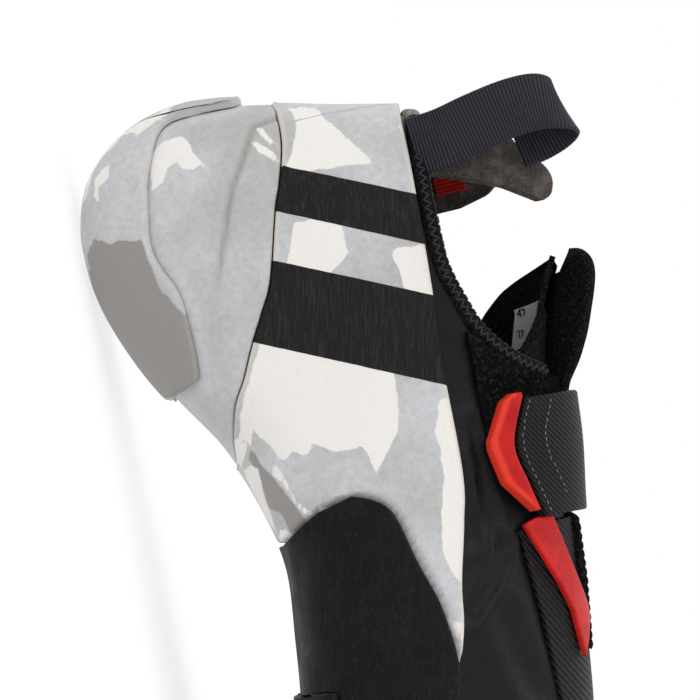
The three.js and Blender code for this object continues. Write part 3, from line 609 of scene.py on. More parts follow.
def sweep(name, finish, middle, across, section_rows, swell=None):
    """A closed bar along a path. section_rows: distance along the width, distance out of it."""
    middle, across = np.array(middle, float), np.array(across, float)
    ahead = np.gradient(middle, axis=0)
    ahead /= np.linalg.norm(ahead, axis=1, keepdims=True)
    across = across - ahead * np.sum(across * ahead, axis=1, keepdims=True)
    across /= np.linalg.norm(across, axis=1, keepdims=True)
    out = np.cross(ahead, across)
    ring = np.array(section_rows, float)
    swell = np.ones(len(middle)) if swell is None else swell
    points = (middle[:, None] + across[:, None] * ring[None, :, :1] * swell[:, None, None]
              + out[:, None] * ring[None, :, 1:])
    rows, cols = points.shape[:2]
    faces = []
    for r in range(rows - 1):
        for c in range(cols):
            n = (c + 1) % cols
            faces.append((r * cols + c, r * cols + n, (r + 1) * cols + n, (r + 1) * cols + c))
    faces.append(tuple(range(cols - 1, -1, -1)))
    faces.append(tuple((rows - 1) * cols + c for c in range(cols)))
    facts = {"run": np.repeat(run_of(middle), cols), "width": np.tile(ring[:, 0], rows)}
    return build(name, points.reshape(-1, 3), faces, finish, facts)


def rounded(width, wall, round_by, steps=4):
    """Section of a flat band with rounded corners, finely divided across its width."""
    w, h, r = width / 2, wall / 2, min(round_by, wall / 2 * 0.98)
    ring = []
    corners = ((w - r, h - r, 0), (-(w - r), h - r, 90), (-(w - r), -(h - r), 180), (w - r, -(h - r), 270))
    for cx, cy, start in corners:
        for k in range(steps + 1):
            a = math.radians(start + 90 * k / steps)
            ring.append((cx + r * math.cos(a), cy + r * math.sin(a)))
    return ring


def thread_field(name, finish, rows):
    """Many short threads as one mesh. Each row: middle, direction, length, thickness, outward."""
    bpy.ops.object.select_all(action="DESELECT")
    bpy.ops.mesh.primitive_uv_sphere_add(segments=6, ring_count=4, radius=0.5)
    seed = bpy.context.active_object
    base = np.array([v.co[:] for v in seed.data.vertices])
    loops = [tuple(p.vertices) for p in seed.data.polygons]
    bpy.data.objects.remove(seed)
    points, faces = [], []
    for middle, way, length, thick, out in rows:
        way = np.array(way, float) / np.linalg.norm(way)
        out = np.array(out, float) - way * np.dot(out, way)
        out /= max(1e-9, np.linalg.norm(out))
        side = np.cross(way, out)
        points.append(np.array(middle) + base[:, :1] * way * length + base[:, 1:2] * side * thick
                      + base[:, 2:3] * out * thick)
        start = (len(points) - 1) * len(base)
        faces += [tuple(i + start for i in loop) for loop in loops]
    return build(name, np.concatenate(points), faces, finish, smooth_angle=80)


def turned_to(right, up, back, at):
    """The matrix that lays X, Y and Z along three directions and moves them to a place."""
    return Matrix([(right[k], up[k], back[k], at[k]) for k in range(3)] + [(0, 0, 0, 1)])


# Finishes


def tone(red, green, blue):
    """A display colour, 0 to 255, as the light that Blender works in."""
    shares = [c / 255 for c in (red, green, blue)]
    return tuple(c / 12.92 if c <= 10 / 255 else ((c + 0.055) / 1.055) ** 2.4 for c in shares) + (1.0,)


def put(tree, kind, settings=None, **inputs):
    """A node with its settings and inputs; an input that is a socket gets a link."""
    node = tree.nodes.new(kind)
    for key, value in (settings or {}).items():
        setattr(node, key, value)
    for key, value in inputs.items():
        socket = node.inputs[int(key[1:])] if key[1:].isdigit() else node.inputs[key.replace("_", " ")]
        if isinstance(value, bpy.types.NodeSocket):
            tree.links.new(value, socket)
        else:
            socket.default_value = value
    return node


class Finish:
    """A material under the hand: a shader with its colour and relief built up step by step."""

    def __init__(self, name, roughness, specular, sheen=0.0):
        self.material = bpy.data.materials.new(name)
        self.material.use_nodes = True
        self.tree = self.material.node_tree
        self.shader = self.tree.nodes["Principled BSDF"]
        for socket, value in (("Roughness", roughness), ("Specular IOR Level", specular), ("Sheen Weight", sheen)):
            self.shader.inputs[socket].default_value = value
        self.coords = put(self.tree, "ShaderNodeTexCoord").outputs["Object"]

    def stretched(self, scale, turn=(0, 0, 0)):
        """Object coordinates turned and stretched, for grain with a direction."""
        first = put(self.tree, "ShaderNodeMapping", {"vector_type": "POINT"}, Vector=self.coords, Rotation=turn)
        return put(self.tree, "ShaderNodeMapping", Vector=first.outputs[0], Scale=scale).outputs[0]

    def noise(self, size, detail=3.0, rough=0.55, vector=None):
        """Noise from 0 to 1; size is that of its spots, in metres."""
        return put(self.tree, "ShaderNodeTexNoise", Vector=vector or self.coords, Scale=1 / size, Detail=detail,
                   Roughness=rough).outputs["Fac"]

    def cells(self, size):
        """Distance to the nearest of scattered points, size apart in metres."""
        return put(self.tree, "ShaderNodeTexVoronoi", Vector=self.coords, Scale=1 / size).outputs["Distance"]

    def fact(self, name):
        """A value that the mesh gives to its points."""
        return put(self.tree, "ShaderNodeAttribute", {"attribute_name": name}).outputs["Fac"]

    def maths(self, work, a, b=0.0):
        return put(self.tree, "ShaderNodeMath", {"operation": work}, i0=a, i1=b).outputs[0]

    def between(self, value, low, high, to_low=0.0, to_high=1.0):
        """value taken from low..high to to_low..to_high, softly and held at the ends."""
        return put(self.tree, "ShaderNodeMapRange", {"interpolation_type": "SMOOTHSTEP"}, Value=value,
                   From_Min=low, From_Max=high, To_Min=to_low, To_Max=to_high).outputs[0]

    def mix(self, share, a, b):
        """From colour a to colour b by a share."""
        node = put(self.tree, "ShaderNodeMix", {"data_type": "RGBA"})
        for key, value in ((0, share), (6, a), (7, b)):
            if isinstance(value, bpy.types.NodeSocket):
                self.tree.links.new(value, node.inputs[key])
            else:
                node.inputs[key].default_value = value
        return node.outputs[2]

    def wave(self, fact, pitch):
        """A ripple of -1 to 1 over a fact in millimetres."""
        return self.maths("SINE", self.maths("MULTIPLY", fact, 2 * math.pi / pitch))

    def slant(self, way, pitch):
        """A ripple of -1 to 1 across the shoe along a direction, pitch in millimetres."""
        dot = put(self.tree, "ShaderNodeVectorMath", {"operation": "DOT_PRODUCT"}, i0=self.coords)
        size = math.sqrt(sum(c * c for c in way))
        dot.inputs[1].default_value = tuple(c / size for c in way)
        return self.maths("SINE", self.maths("MULTIPLY", dot.outputs["Value"], 2000 * math.pi / pitch))

    def paint(self, colour):
        """Sets the colour."""
        if isinstance(colour, bpy.types.NodeSocket):
            self.tree.links.new(colour, self.shader.inputs["Base Color"])
        else:
            self.shader.inputs["Base Color"].default_value = colour
        return self

    def gloss(self, value):
        """Sets the roughness from a socket."""
        self.tree.links.new(value, self.shader.inputs["Roughness"])
        return self

    def relief(self, *steps):
        """Bumps, one over the other: height socket and its depth in millimetres."""
        normal = None
        for height, depth in steps:
            node = put(self.tree, "ShaderNodeBump", Height=height, Distance=depth / 1000, Strength=1.0)
            if normal is not None:
                self.tree.links.new(normal, node.inputs["Normal"])
            normal = node.outputs[0]
        self.tree.links.new(normal, self.shader.inputs["Normal"])
        return self


# Turn of the streaks that were brushed along the shoe
BRUSHED_TURN = (0, math.radians(-12), 0)


def moulded_rubber(name, colours, printed=False):
    """Pale rubber with a blotched pattern in it, a lighter rim, and black print where it is asked for."""
    f = Finish(name, 0.55, specular=0.2)
    ragged = f.maths("MULTIPLY", f.maths("SUBTRACT", f.noise(0.0035, 3), 0.5), 1.6)
    cloud = f.noise(0.03, 2)
    base = f.mix(f.between(cloud, 0.32, 0.62), colours.rubber_grey, colours.rubber_cool)
    # Painted highlight: a paler, cooler stripe along the heel plate's edge
    base = f.mix(f.maths("MULTIPLY", f.fact("worn"), 0.75), base, colours.rubber_worn)
    dark = f.between(f.maths("ADD", f.fact("dark"), ragged), -0.25, 0.25)
    pale = f.between(f.maths("ADD", f.fact("pale"), ragged), -0.2, 0.2)
    base = f.mix(f.maths("MULTIPLY", dark, 0.9), base, colours.rubber_dark)
    mottle = f.noise(0.0016, 6, 0.75)
    base = f.mix(f.between(mottle, 0.35, 0.7, 0.0, 0.3), base, colours.rubber_dark)
    base = f.mix(pale, base, colours.rubber_pale)
    lip, lip_share = (1.5, 0.75) if printed else (0.5, 0.15)
    base = f.mix(f.between(f.fact("rim"), lip, 0.1, 0.0, lip_share), base, colours.rubber_edge)
    # Painted shade: darkens the rubber along the cup's pressed groove
    base = f.mix(f.maths("MULTIPLY", f.fact("dirt"), 0.42), base, colours.rubber_soil)
    grime = f.between(f.noise(0.0011, 4, 0.7), 0.55, 0.8, 0.0, 0.16)
    base = f.mix(grime, base, colours.rubber_dark)
    grain = f.noise(0.0004, 3, 0.6)
    steps = [(f.noise(0.006, 2), 0.3), (mottle, 0.09), (grain, 0.05)]
    if printed:
        streaks = f.noise(0.00032, 4, 0.7, f.stretched((0.05, 1.0, 1.0), BRUSHED_TURN))
        worn = f.noise(0.0004, 3, 0.7)
        ink = f.mix(f.between(streaks, 0.45, 0.75, 0.0, 0.5), colours.print_black, colours.print_grey)
        ink = f.mix(f.between(worn, 0.64, 0.75, 0.0, 0.35), ink, colours.print_grey)
        band = f.between(f.maths("ADD", f.fact("band"), f.maths("MULTIPLY", ragged, 0.12)), -0.08, 0.08)
        base = f.mix(band, base, ink)
        steps.append((f.maths("MULTIPLY", streaks, band), 0.12))
        f.gloss(f.between(band, 0, 1, 0.5, 0.62))
    return f.paint(base).relief(*steps).material


def black_rubber(name, colours):
    """Black rubber, brushed along the shoe, with dust and soil in it."""
    f = Finish(name, 0.55, specular=0.12)
    dust = f.between(f.noise(0.004, 5, 0.7), 0.45, 0.8, 0.0, 0.35)
    brushed = f.noise(0.0007, 5, 0.7, f.stretched((0.08, 1.0, 1.0), BRUSHED_TURN))
    base = f.mix(dust, colours.black_rubber, colours.black_dusty)
    base = f.mix(f.between(brushed, 0.45, 0.8, 0.0, 0.6), base, colours.black_dusty)
    base = f.mix(f.between(f.noise(0.0005, 4, 0.75), 0.58, 0.8, 0.0, 0.3), base, colours.rubber_soil)
    base = f.mix(f.between(f.fact("rim"), 0.9, 0.1, 0.0, 0.5), base, colours.black_dusty)
    f.gloss(f.between(f.noise(0.008, 4), 0.3, 0.7, 0.46, 0.66)).paint(base)
    return f.relief((f.noise(0.005, 3), 0.25), (brushed, 0.08), (f.noise(0.0005, 3, 0.7), 0.07)).material


def smooth_synthetic(name, colours):
    """The charcoal skin of the upper."""
    f = Finish(name, 0.42, specular=0.17)
    base = f.mix(f.between(f.noise(0.012, 4), 0.35, 0.7), colours.charcoal, colours.charcoal_light)
    inside = f.fact("inside")
    base = f.mix(inside, base, colours.lining)
    f.gloss(f.between(inside, 0, 1, 0.4, 0.95)).paint(base)
    return f.relief((f.noise(0.006, 3), 0.25), (f.cells(0.0006), 0.04), (f.noise(0.0003, 2), 0.03)).material


def knitted(name, colours, pitch=0.9):
    """Black knit with a small raised stitch, pitch in millimetres."""
    f = Finish(name, 0.9, specular=0.05)
    loops = f.cells(pitch / 1000 * 0.8)
    base = f.mix(f.between(loops, 0.1, 0.6), colours.knit_light, colours.knit)
    return f.paint(base).relief((f.noise(0.0012, 3, 0.7), 0.3), (loops, 0.35)).material


# Where the collar's felt gives way to knit, in metres along the frame
FELT_BACK = (-0.1162, -0.1148)


def collar_knitted(name, colours):
    """The collar's black knit, which gives way to pale felt at the very back of the heel."""
    f = Finish(name, 0.9, specular=0.05)
    loops = f.cells(0.00072)
    along = put(f.tree, "ShaderNodeSeparateXYZ", i0=f.coords).outputs["X"]
    ragged = f.maths("ADD", along, f.maths("MULTIPLY", f.noise(0.002, 3), 0.002))
    back = f.between(ragged, *FELT_BACK, 1.0, 0.0)
    felt = f.mix(f.between(f.noise(0.0005, 5, 0.8), 0.4, 0.62), colours.felt, colours.felt_heel)
    base = f.mix(back, f.mix(f.between(loops, 0.1, 0.6), colours.knit_light, colours.knit), felt)
    return f.paint(base).relief((f.noise(0.0012, 3, 0.7), 0.3), (loops, 0.3)).material


def fleece(name, colours):
    """Curly pile for the hooks to hold."""
    f = Finish(name, 1.0, specular=0.03)
    curl = f.noise(0.0007, 6, 0.8)
    base = f.mix(f.between(curl, 0.5, 0.75), colours.knit, colours.fleece_light)
    return f.paint(base).relief((f.noise(0.0016, 5, 0.8), 0.8), (curl, 0.5)).material


def felted(name, colours):
    """Hairy felt with lighter patches."""
    f = Finish(name, 1.0, specular=0.05)
    hair = f.noise(0.0004, 5, 0.8)
    base = f.mix(f.between(hair, 0.35, 0.7), colours.felt_dark, colours.felt)
    base = f.mix(f.between(f.noise(0.004, 3), 0.45, 0.75, 0, 0.5), base, colours.felt_light)
    return f.paint(base).relief((f.noise(0.002, 4, 0.7), 0.3), (hair, 0.25)).material


def woven_webbing(name, colours):
    """Ribbed webbing: cords across its width, one after the other along it."""
    f = Finish(name, 0.6, specular=0.25)
    ribs = f.wave(f.fact("run"), 0.72)
    weave = f.wave(f.fact("width"), 0.55)
    height = f.maths("ADD", ribs, f.maths("MULTIPLY", weave, 0.3))
    base = f.mix(f.between(height, -0.4, 1.1), colours.webbing, colours.webbing_light)
    return f.paint(base).relief((height, 0.1), (f.noise(0.0004, 3, 0.7), 0.08)).material


def ribbed(name, colours, way, pitch):
    """Coated cloth with fine slanting ribs."""
    f = Finish(name, 0.5, specular=0.14)
    ribs = f.slant(way, pitch)
    base = f.mix(f.between(ribs, -0.6, 1.0), colours.strap_dark, colours.strap_light)
    base = f.mix(f.between(f.noise(0.01, 3), 0.4, 0.8, 0.0, 0.4), base, colours.strap_dark)
    return f.paint(base).relief((ribs, 0.13), (f.noise(0.0004, 3), 0.03)).material


def red_moulding(name, colours, lit_rim):
    """Smooth red moulding; lit_rim says how much of the brighter red its bevelled rim shows."""
    f = Finish(name, 0.42, specular=0.14)
    base = f.mix(f.between(f.noise(0.006, 3), 0.35, 0.75), colours.red, colours.red_deep)
    rim = f.between(f.fact("rim"), 2.2, 0.9, 0, lit_rim)
    low_half = f.between(f.fact("across"), -1.0, 1.0)
    base = f.mix(f.maths("MULTIPLY", rim, low_half), base, colours.red_bright)
    return f.paint(base).relief((f.noise(0.004, 3), 0.08), (f.noise(0.0005, 3), 0.02)).material


def thread(name, colour):
    """Smooth sewing thread."""
    f = Finish(name, 0.7, specular=0.3)
    return f.paint(colour).relief((f.noise(0.0003, 2), 0.03)).material


class ShoeColours(bpy.types.PropertyGroup):
    """Colours of the shoe's finishes."""


class ShoeSizes(bpy.types.PropertyGroup):
    """Sizes of what is added over the last, in millimetres."""


def colour_prop(label, about, red, green, blue):
    """A colour that the user can change, given from 0 to 255."""
    return bpy.props.FloatVectorProperty(name=label, description=about, subtype="COLOR", size=4, min=0, max=1,
                                         default=tone(red, green, blue))


def size_prop(label, about, usual, least=0.5):
    """A size in millimetres that the user can change."""
    return bpy.props.FloatProperty(name=label, description=about, default=usual, min=least)


ShoeColours.__annotations__ = {
    "rubber_grey": colour_prop("Rubber grey", "Ground colour of the heel rubber", 178, 179, 177),
    "rubber_cool": colour_prop("Rubber cool grey", "Cooler clouds in the heel rubber", 197, 199, 202),
    "rubber_pale": colour_prop("Rubber pale", "White blotches in the rubber", 229, 225, 221),
    "rubber_dark": colour_prop("Rubber dark", "Darker blotches in the rubber", 139, 135, 132),
    # Painted highlight: the paler, cooler stripe on the cup just beside the heel plate
    "rubber_worn": colour_prop("Rubber worn", "Paler worn stripe beside the heel plate", 208, 211, 216),
    # Painted shade for the heel cup's groove; the same colour gives the soil spots on the black rubber
    "rubber_soil": colour_prop("Rubber soil", "Soil in the grooves of the rubber", 120, 114, 108),
    "rubber_edge": colour_prop("Rubber edge", "Cut edges of the rubber", 214, 206, 192),
    "print_black": colour_prop("Print black", "Bands printed on the rand", 15, 15, 17),
    "print_grey": colour_prop("Print grey", "Worn streaks in the print", 66, 65, 65),
    "black_rubber": colour_prop("Black rubber", "Arch, toe and sole rubber", 12, 11, 12),
    "black_dusty": colour_prop("Black rubber, dusty", "Chalk and dust on the black rubber", 38, 36, 35),
    "charcoal": colour_prop("Charcoal", "Skin of the upper", 13, 14, 18),
    "charcoal_light": colour_prop("Charcoal light", "Lighter clouds of the upper's skin", 18, 19, 24),
    "lining": colour_prop("Lining", "Inside of the upper", 38, 38, 40),
    "knit": colour_prop("Knit", "Collar, tongue and pull tab", 17, 17, 19),
    "knit_light": colour_prop("Knit light", "Raised stitches of the knit", 40, 40, 44),
    "fleece_light": colour_prop("Fleece light", "Tips of the loop pile", 50, 50, 52),
    "felt": colour_prop("Felt", "Pad at the heel", 96, 90, 86),
    "felt_heel": colour_prop("Felt at the heel", "Pale felt at the back of the collar", 178, 171, 162),
    "felt_dark": colour_prop("Felt dark", "Shaded hairs of the felt", 52, 49, 47),
    "felt_light": colour_prop("Felt light", "Light patches of the felt", 128, 121, 114),
    "webbing": colour_prop("Webbing", "Heel pull loop", 15, 15, 21),
    "webbing_light": colour_prop("Webbing light", "Tops of the webbing's ribs", 50, 50, 62),
    "strap_dark": colour_prop("Strap dark", "Ribbed cloth of strap and instep", 9, 9, 10),
    "strap_light": colour_prop("Strap light", "Tops of the strap's ribs", 28, 28, 30),
    "red": colour_prop("Red", "Moulded strap tip and instep piece", 192, 30, 28),
    "red_bright": colour_prop("Red rim", "Lit rim of the red mouldings", 220, 58, 40),
    "red_deep": colour_prop("Red deep", "Darker clouds of the red", 160, 16, 18),
    "red_tape": colour_prop("Red tape", "Small tab inside the collar", 216, 30, 24),
    "footbed": colour_prop("Footbed", "Inner sole", 58, 58, 60),
    "label": colour_prop("Label", "Size patch on the tongue", 246, 246, 248),
    "label_shade": colour_prop("Label shade", "Shaded weave of the size patch", 196, 197, 200),
    "label_ink": colour_prop("Label ink", "Numerals of the size patch", 24, 24, 26),
    "stitch": colour_prop("Stitch", "Light sewing thread", 120, 120, 124),
    "floor": colour_prop("Floor", "Studio floor", 140, 140, 140),
}

ShoeSizes.__annotations__ = {
    "cup_rubber": size_prop("Heel cup", "Thickness of the heel cup", 1.6),
    "rand_rubber": size_prop("Rand", "Thickness of the heel rand", 2.0),
    "arch_rubber": size_prop("Arch rubber", "Thickness of the arch patch", 2.2),
    "toe_rubber": size_prop("Toe rubber", "Thickness of the toe patch", 1.6),
    "sole_side": size_prop("Sole side", "Sole thickness at its side", 2.6),
    "tongue_wall": size_prop("Tongue", "Thickness of the tongue", 2.2),
    "tab_wall": size_prop("Heel pad", "Thickness of the felt pad", 2.5),
    "strap_wall": size_prop("Strap", "Thickness of the strap", 2.2),
    "tip_wall": size_prop("Strap tip", "Thickness of the strap's tip", 2.9),
    "loop_width": size_prop("Heel loop width", "Width of the heel pull loop", 12.5, 4),
    "loop_height": size_prop("Heel loop height", "Rise of the heel pull loop", 32, 10),
    "loop_wall": size_prop("Heel loop wall", "Thickness of the webbing", 1.1, 0.4),
    "pull_width": size_prop("Tongue loop width", "Width of the tongue's pull tab", 13, 4),
    "pull_wall": size_prop("Tongue loop wall", "Thickness of the tongue's pull tab", 2.5),
    "pull_rise": size_prop("Tongue loop rise", "Rise of the pull tab", 3.1, 1),
}


def colours():
    return bpy.context.scene.shoe_colours


def sizes():
    return bpy.context.scene.shoe_sizes


# Lines that several pieces share
cup_line = line(CUP_TOP, INSTEP_HEIGHT, after=-FAR)
rand_line = line(RAND_TOP, COLLAR_HEIGHT)
top_line = line(TOPLINE, COLLAR_HEIGHT, after=FAR)
ARCH_OUTLINE = ([(0.374, -0.3)] + ARCH_HEEL_SIDE + [tuple(p) for p in spline(ARCH_TOP, 4)[1:]]
                + [(0.62, 0.5), (0.62, -0.3)])
ARCH_OUTLINE = [(x * LENGTH, z * INSTEP_HEIGHT) for x, z in ARCH_OUTLINE]


def sole_line(at, rise=0.0):
    """Upper edge of the outsole."""
    s = section(place_at(np.clip(at, 0.02 * LENGTH, 0.9905 * LENGTH)))
    return np.where(at < OUTSOLE_FROM * LENGTH, -FAR, s["bottom"] + SOLE_RIM + rise)


def throat_half(x):
    """Half the width of the slot at the instep."""
    start, end = THROAT_FROM * LENGTH, THROAT_TO * LENGTH
    return np.interp(x, [start, start + 0.01, end, end + 1.33], [0, *THROAT_HALF, 0])


def bell(distance, width):
    """1 at nought, falling softly to both sides."""
    return np.exp(-(distance / width) ** 2)


def cup_pattern(x, z, rim):
    """Pale areas, painted shade along the groove, and a painted highlight stripe that follows the heel plate."""
    # Painted shade along the pressed groove
    groove = bell(off_line(x, z, marked(CUP_GROOVE)), 0.7) * (1 - smoothstep(x, 30, 50))
    # Painted highlight: a stripe about 2 mm outside the heel plate's edge, on the cup above about 15 mm
    from_plate = off_line(x, z, spline(PLATE_EDGE, 4) * (LENGTH, INSTEP_HEIGHT))
    return {"pale": in_marks(x, z, CUP_PALE), "dark": np.full(np.shape(x), -50.0), "dirt": groove,
            "worn": bell(from_plate - 2.0, 1.6) * smoothstep(z, 15, 24)}


def plate_pattern(x, z, rim):
    """Pale and dark areas of the heel plate."""
    return {"pale": in_marks(x, z, PLATE_PALE), "dark": in_marks(x, z, PLATE_DARK)}


def rand_pattern(x, z, rim):
    """Pale and dark areas of the rand, and its two printed bands."""
    return {"pale": in_marks(x, z, RAND_PALE), "dark": in_marks(x, z, RAND_DARK), "band": in_marks(x, z, RAND_BANDS)}


def cup_relief(x, z, rim):
    """The groove pressed into the cup and the soft swelling either side of it."""
    groove = off_line(x, z, marked(CUP_GROOVE))
    return (0.22 * bell(groove - 1.8, 1.1) - 0.6 * bell(groove, 0.75)) * (1 - smoothstep(x, 34, 50))


def upper_relief(x, z, rim):
    """Creases and the sewn seam of the upper's skin, as soft troughs with a swelling beside them."""
    height = np.zeros(np.shape(x))
    for marks, width, depth in CREASES:
        away = off_line(x, z, marked(marks))
        height += depth * (0.7 * bell(away - 2.0 * width, width) - bell(away, width))
    return height


def rand_relief(x, z, rim):
    """A soft swelling just inside the rand's edge."""
    return 0.22 * bell(rim - 1.0, 0.8) - 0.12 * bell(rim - 3.2, 1.4)


def plate_relief(x, z, rim):
    """The plate is highest at its rim's bevel and a little hollow behind it."""
    return -0.22 * bell(rim - 4.0, 2.2) * smoothstep(rim, 0.8, 2.0)


def pile_relief(x, z, rim):
    """The uneven height of the loop pile."""
    wild = np.sin(x * 5.1 + 3 * np.sin(z * 2.3)) * np.sin(z * 4.7 + 2 * np.sin(x * 3.1))
    return 0.22 * wild * smoothstep(rim, 0.2, 1.0)


# The camera: where it looks, in metres, its turn and rise in degrees, its distance, and what it takes in
AIM = Vector((-0.0715, 0.0, 0.0512))
AZIMUTH, ELEVATION = math.radians(2), math.radians(1.5)
DISTANCE = 1.0
FRAME_WIDTH = 0.149
# Lamps: name, place and size in metres, and power
LAMPS = (("key_light", (-0.75, -0.85, 0.95), 0.6, 2.6), ("top_light", (-0.35, 0.25, 1.25), 0.6, 1.5))


class SHOE_OT_stage(bpy.types.Operator):
    """Makes the floor, the lights and the camera at the photograph's angle"""
    bl_idname = "shoe.stage"
    bl_label = "Studio stage"

    def execute(self, context):
        world = bpy.data.worlds.new("studio_air")
        world.use_nodes = True
        air = world.node_tree.nodes["Background"]
        air.inputs["Color"].default_value = (1, 1, 1, 1)
        air.inputs["Strength"].default_value = 1.0
        context.scene.world = world
        context.scene.view_settings.view_transform = "Standard"
        bpy.ops.object.select_all(action="DESELECT")
        bpy.ops.mesh.primitive_plane_add(size=60)
        floor = context.active_object
        floor.name = "studio_floor"
        surface = Finish("studio_floor", 0.9, specular=0.1)
        surface.paint(surface.mix(surface.noise(0.5, 2), colours().floor, tone(139, 139, 139)))
        surface.shader.inputs["Emission Color"].default_value = (1, 1, 1, 1)
        surface.shader.inputs["Emission Strength"].default_value = 0.74
        floor.data.materials.append(surface.material)
        for name, spot, size, power in LAMPS:
            lamp = bpy.data.lights.new(name, "AREA")
            lamp.size, lamp.energy = size, power
            lantern = bpy.data.objects.new(name, lamp)
            context.scene.collection.objects.link(lantern)
            lantern.location = spot
            lantern.rotation_euler = (AIM - Vector(spot)).to_track_quat("-Z", "Y").to_euler()
        eye = bpy.data.cameras.new("camera")
        camera = bpy.data.objects.new("camera", eye)
        context.scene.collection.objects.link(camera)
        level = math.cos(ELEVATION)
        back = Vector((math.sin(AZIMUTH) * level, -math.cos(AZIMUTH) * level, math.sin(ELEVATION)))
        right = Vector((VIEW_ALONG, 0.0, VIEW_UP))
        right = (right - back * right.dot(back)).normalized()
        camera.matrix_world = turned_to(right, back.cross(right), back, AIM + back * DISTANCE)
        eye.sensor_width = 36
        eye.lens = 36 * (DISTANCE - 0.01) / FRAME_WIDTH
        eye.clip_end = 50
        context.scene.camera = camera
        return {"FINISHED"}


class SHOE_OT_rubber(bpy.types.Operator):
    """Makes the heel cup, heel plate, rand, arch patch, toe patch and outsole"""
    bl_idname = "shoe.rubber"
    bl_label = "Rubber"

    def execute(self, context):
        s = sizes()
        pale = moulded_rubber("heel_rubber", colours())
        rand_finish = moulded_rubber("rand_rubber", colours(), printed=True)
        black = black_rubber("black_rubber", colours())

        cup = Shell()
        cup.walls(stations(None, CUP_TO, 0.8), line(CUP_TOP, INSTEP_HEIGHT, after=-FAR, rise=-GAP), None,
                  GAP + s.cup_rubber, GAP, lip=0.5, relief=cup_relief, paint=cup_pattern, pitch=0.8)
        dress(cup.make("heel_cup_rubber", pale, floor=True), "heel_rubber", "heel_cup")

        plate = Shell()
        plate.walls(stations(None, PLATE_TO, 0.8, free_end=True), line(PLATE_EDGE, INSTEP_HEIGHT, after=-FAR), None,
                    SOLE_STACK, 2 * GAP + s.cup_rubber, lip=1.3, relief=plate_relief, paint=plate_pattern, pitch=0.8,
                    ends=(False, True))
        dress(plate.make("heel_plate_rubber", pale, floor=True), "heel_rubber", "heel_plate")

        def tucked(x, z):
            """How far the rand is pressed flat under the arch patch."""
            return smoothstep(inside_by(x, z, [ARCH_OUTLINE]), -1.3, 0.0)

        def rand_outer(n, x, z):
            return GAP + s.rand_rubber - (s.rand_rubber + 0.02) * tucked(x, z)

        def rand_inner(n, x, z):
            return GAP - 0.2 * tucked(x, z)

        def rand_low(x):
            """Along the cup's edge, then from its front end down under the arch."""
            start, end = CUP_FRONT * LENGTH, (CUP_FRONT + 0.004) * LENGTH
            return np.where(x < start, cup_line(x), np.interp(x, [start, end], [cup_line(start), -5.0]))

        rows = closer(stations(RAND_FROM, RAND_TO, 0.8, free_end=True), (0.290, 0.310, 44),
                      (CUP_FRONT, CUP_FRONT + 0.004, 16))
        rand = Shell()
        rand.walls(rows, rand_line, rand_low, rand_outer, rand_inner, lip=0.9, relief=rand_relief, paint=rand_pattern,
                   pitch=1.1, ends=(False, True), base=GAP + s.rand_rubber)
        dress(rand.make("heel_rand_rubber", rand_finish), "rand_rubber", "heel_rand")

        side_low = straight(ARCH_LOW, INSTEP_HEIGHT, after=-FAR)
        notch, sole_at = (share * LENGTH for share in ARCH_NOTCH)

        def arch_low(x):
            """Down the heel side and under the arch, then drawn in to the outsole's edge."""
            drawn_in = np.interp(x, [notch, sole_at], [20.0, float(sole_line(0.4951 * LENGTH, GAP))])
            return np.where(x < notch, side_low(x), np.where(x < sole_at, drawn_in, sole_line(x, GAP)))

        rows = closer(stations(ARCH_FROM, ARCH_TO, 0.9, free_end=True), (0.3712, 0.3755, 44),
                      (*ARCH_NOTCH, 24))
        arch = Shell()
        arch.walls(rows, line(ARCH_TOP, INSTEP_HEIGHT), arch_low, GAP + s.arch_rubber, GAP, lip=0.8, pitch=0.9,
                   ends=(False, True))
        dress(arch.make("arch_patch_rubber", black), "black_rubber", "arch_rubber")

        toe = Shell()
        toe.walls(stations(TOE_FROM, None, 1.2, free_start=True), line(TOE_EDGE, INSTEP_HEIGHT, after=FAR),
                  lambda x: sole_line(x, GAP), GAP + s.toe_rubber, GAP, lip=0.8, pitch=1.2, ends=(True, False),
                  hold_low=True)
        dress(toe.make("toe_patch_rubber", black), "black_rubber", "toe_rubber")

        def sole_outer(n, x, z):
            """Full thickness underfoot, thinner up the side."""
            return s.sole_side + (SOLE_STACK - s.sole_side) * np.clip(-n[..., 2] * 1.4, 0, 1)

        sole = Shell()
        sole.walls(stations(OUTSOLE_FROM, None, 1.2, free_start=True), sole_line, None, sole_outer, GAP, lip=0.7,
                   pitch=1.2, ends=(True, False), base=s.sole_side)
        dress(sole.make("outsole_rubber", black, floor=True), "black_rubber", "outsole")
        return {"FINISHED"}


def topline_path(side):
    """Places and turns of the collar's edge on one side, from the back of the heel forwards."""
    places = stations(COLLAR_FROM, COLLAR_TO, 0.8)
    turns = np.linspace(0.25, 0.75, 361)
    grid_t, grid_p = np.meshgrid(turns, places)
    points = on_last(grid_t if side < 0 else 0.5 - grid_t, grid_p)
    below = points[..., 2] <= top_line(points[..., 0])
    beside = np.abs(points[..., 1]) >= throat_half(section(places)["x"])[:, None]
    cut = turns[np.argmax(below, axis=1)]
    wide = turns[np.argmax(beside | (turns > 0.45), axis=1)]
    keep = cut > 0.2501
    places, cut, wide = places[keep], cut[keep], wide[keep]
    closed = (places > place_at(THROAT_FROM * LENGTH)) & (wide >= cut)
    stop = np.argmax(closed) if closed.any() else len(places)
    padded = np.concatenate([[cut[0]] * 2, cut[:stop], [cut[stop - 1]] * 2])
    return places[:stop], np.convolve(padded, np.ones(5) / 5, "valid")


def reach_at(s, z):
    """Half the last's width at height z of a section."""
    high = z > s["widest"]
    share = np.where(high, (z - s["widest"]) / np.maximum(1, s["top"] - s["widest"]),
                     (s["widest"] - z) / np.maximum(1, s["widest"] - s["bottom"]))
    power = np.where(high, s["over"], s["under"])
    return s["half"] * (1 - np.minimum(1, share) ** power) ** (1 / power)


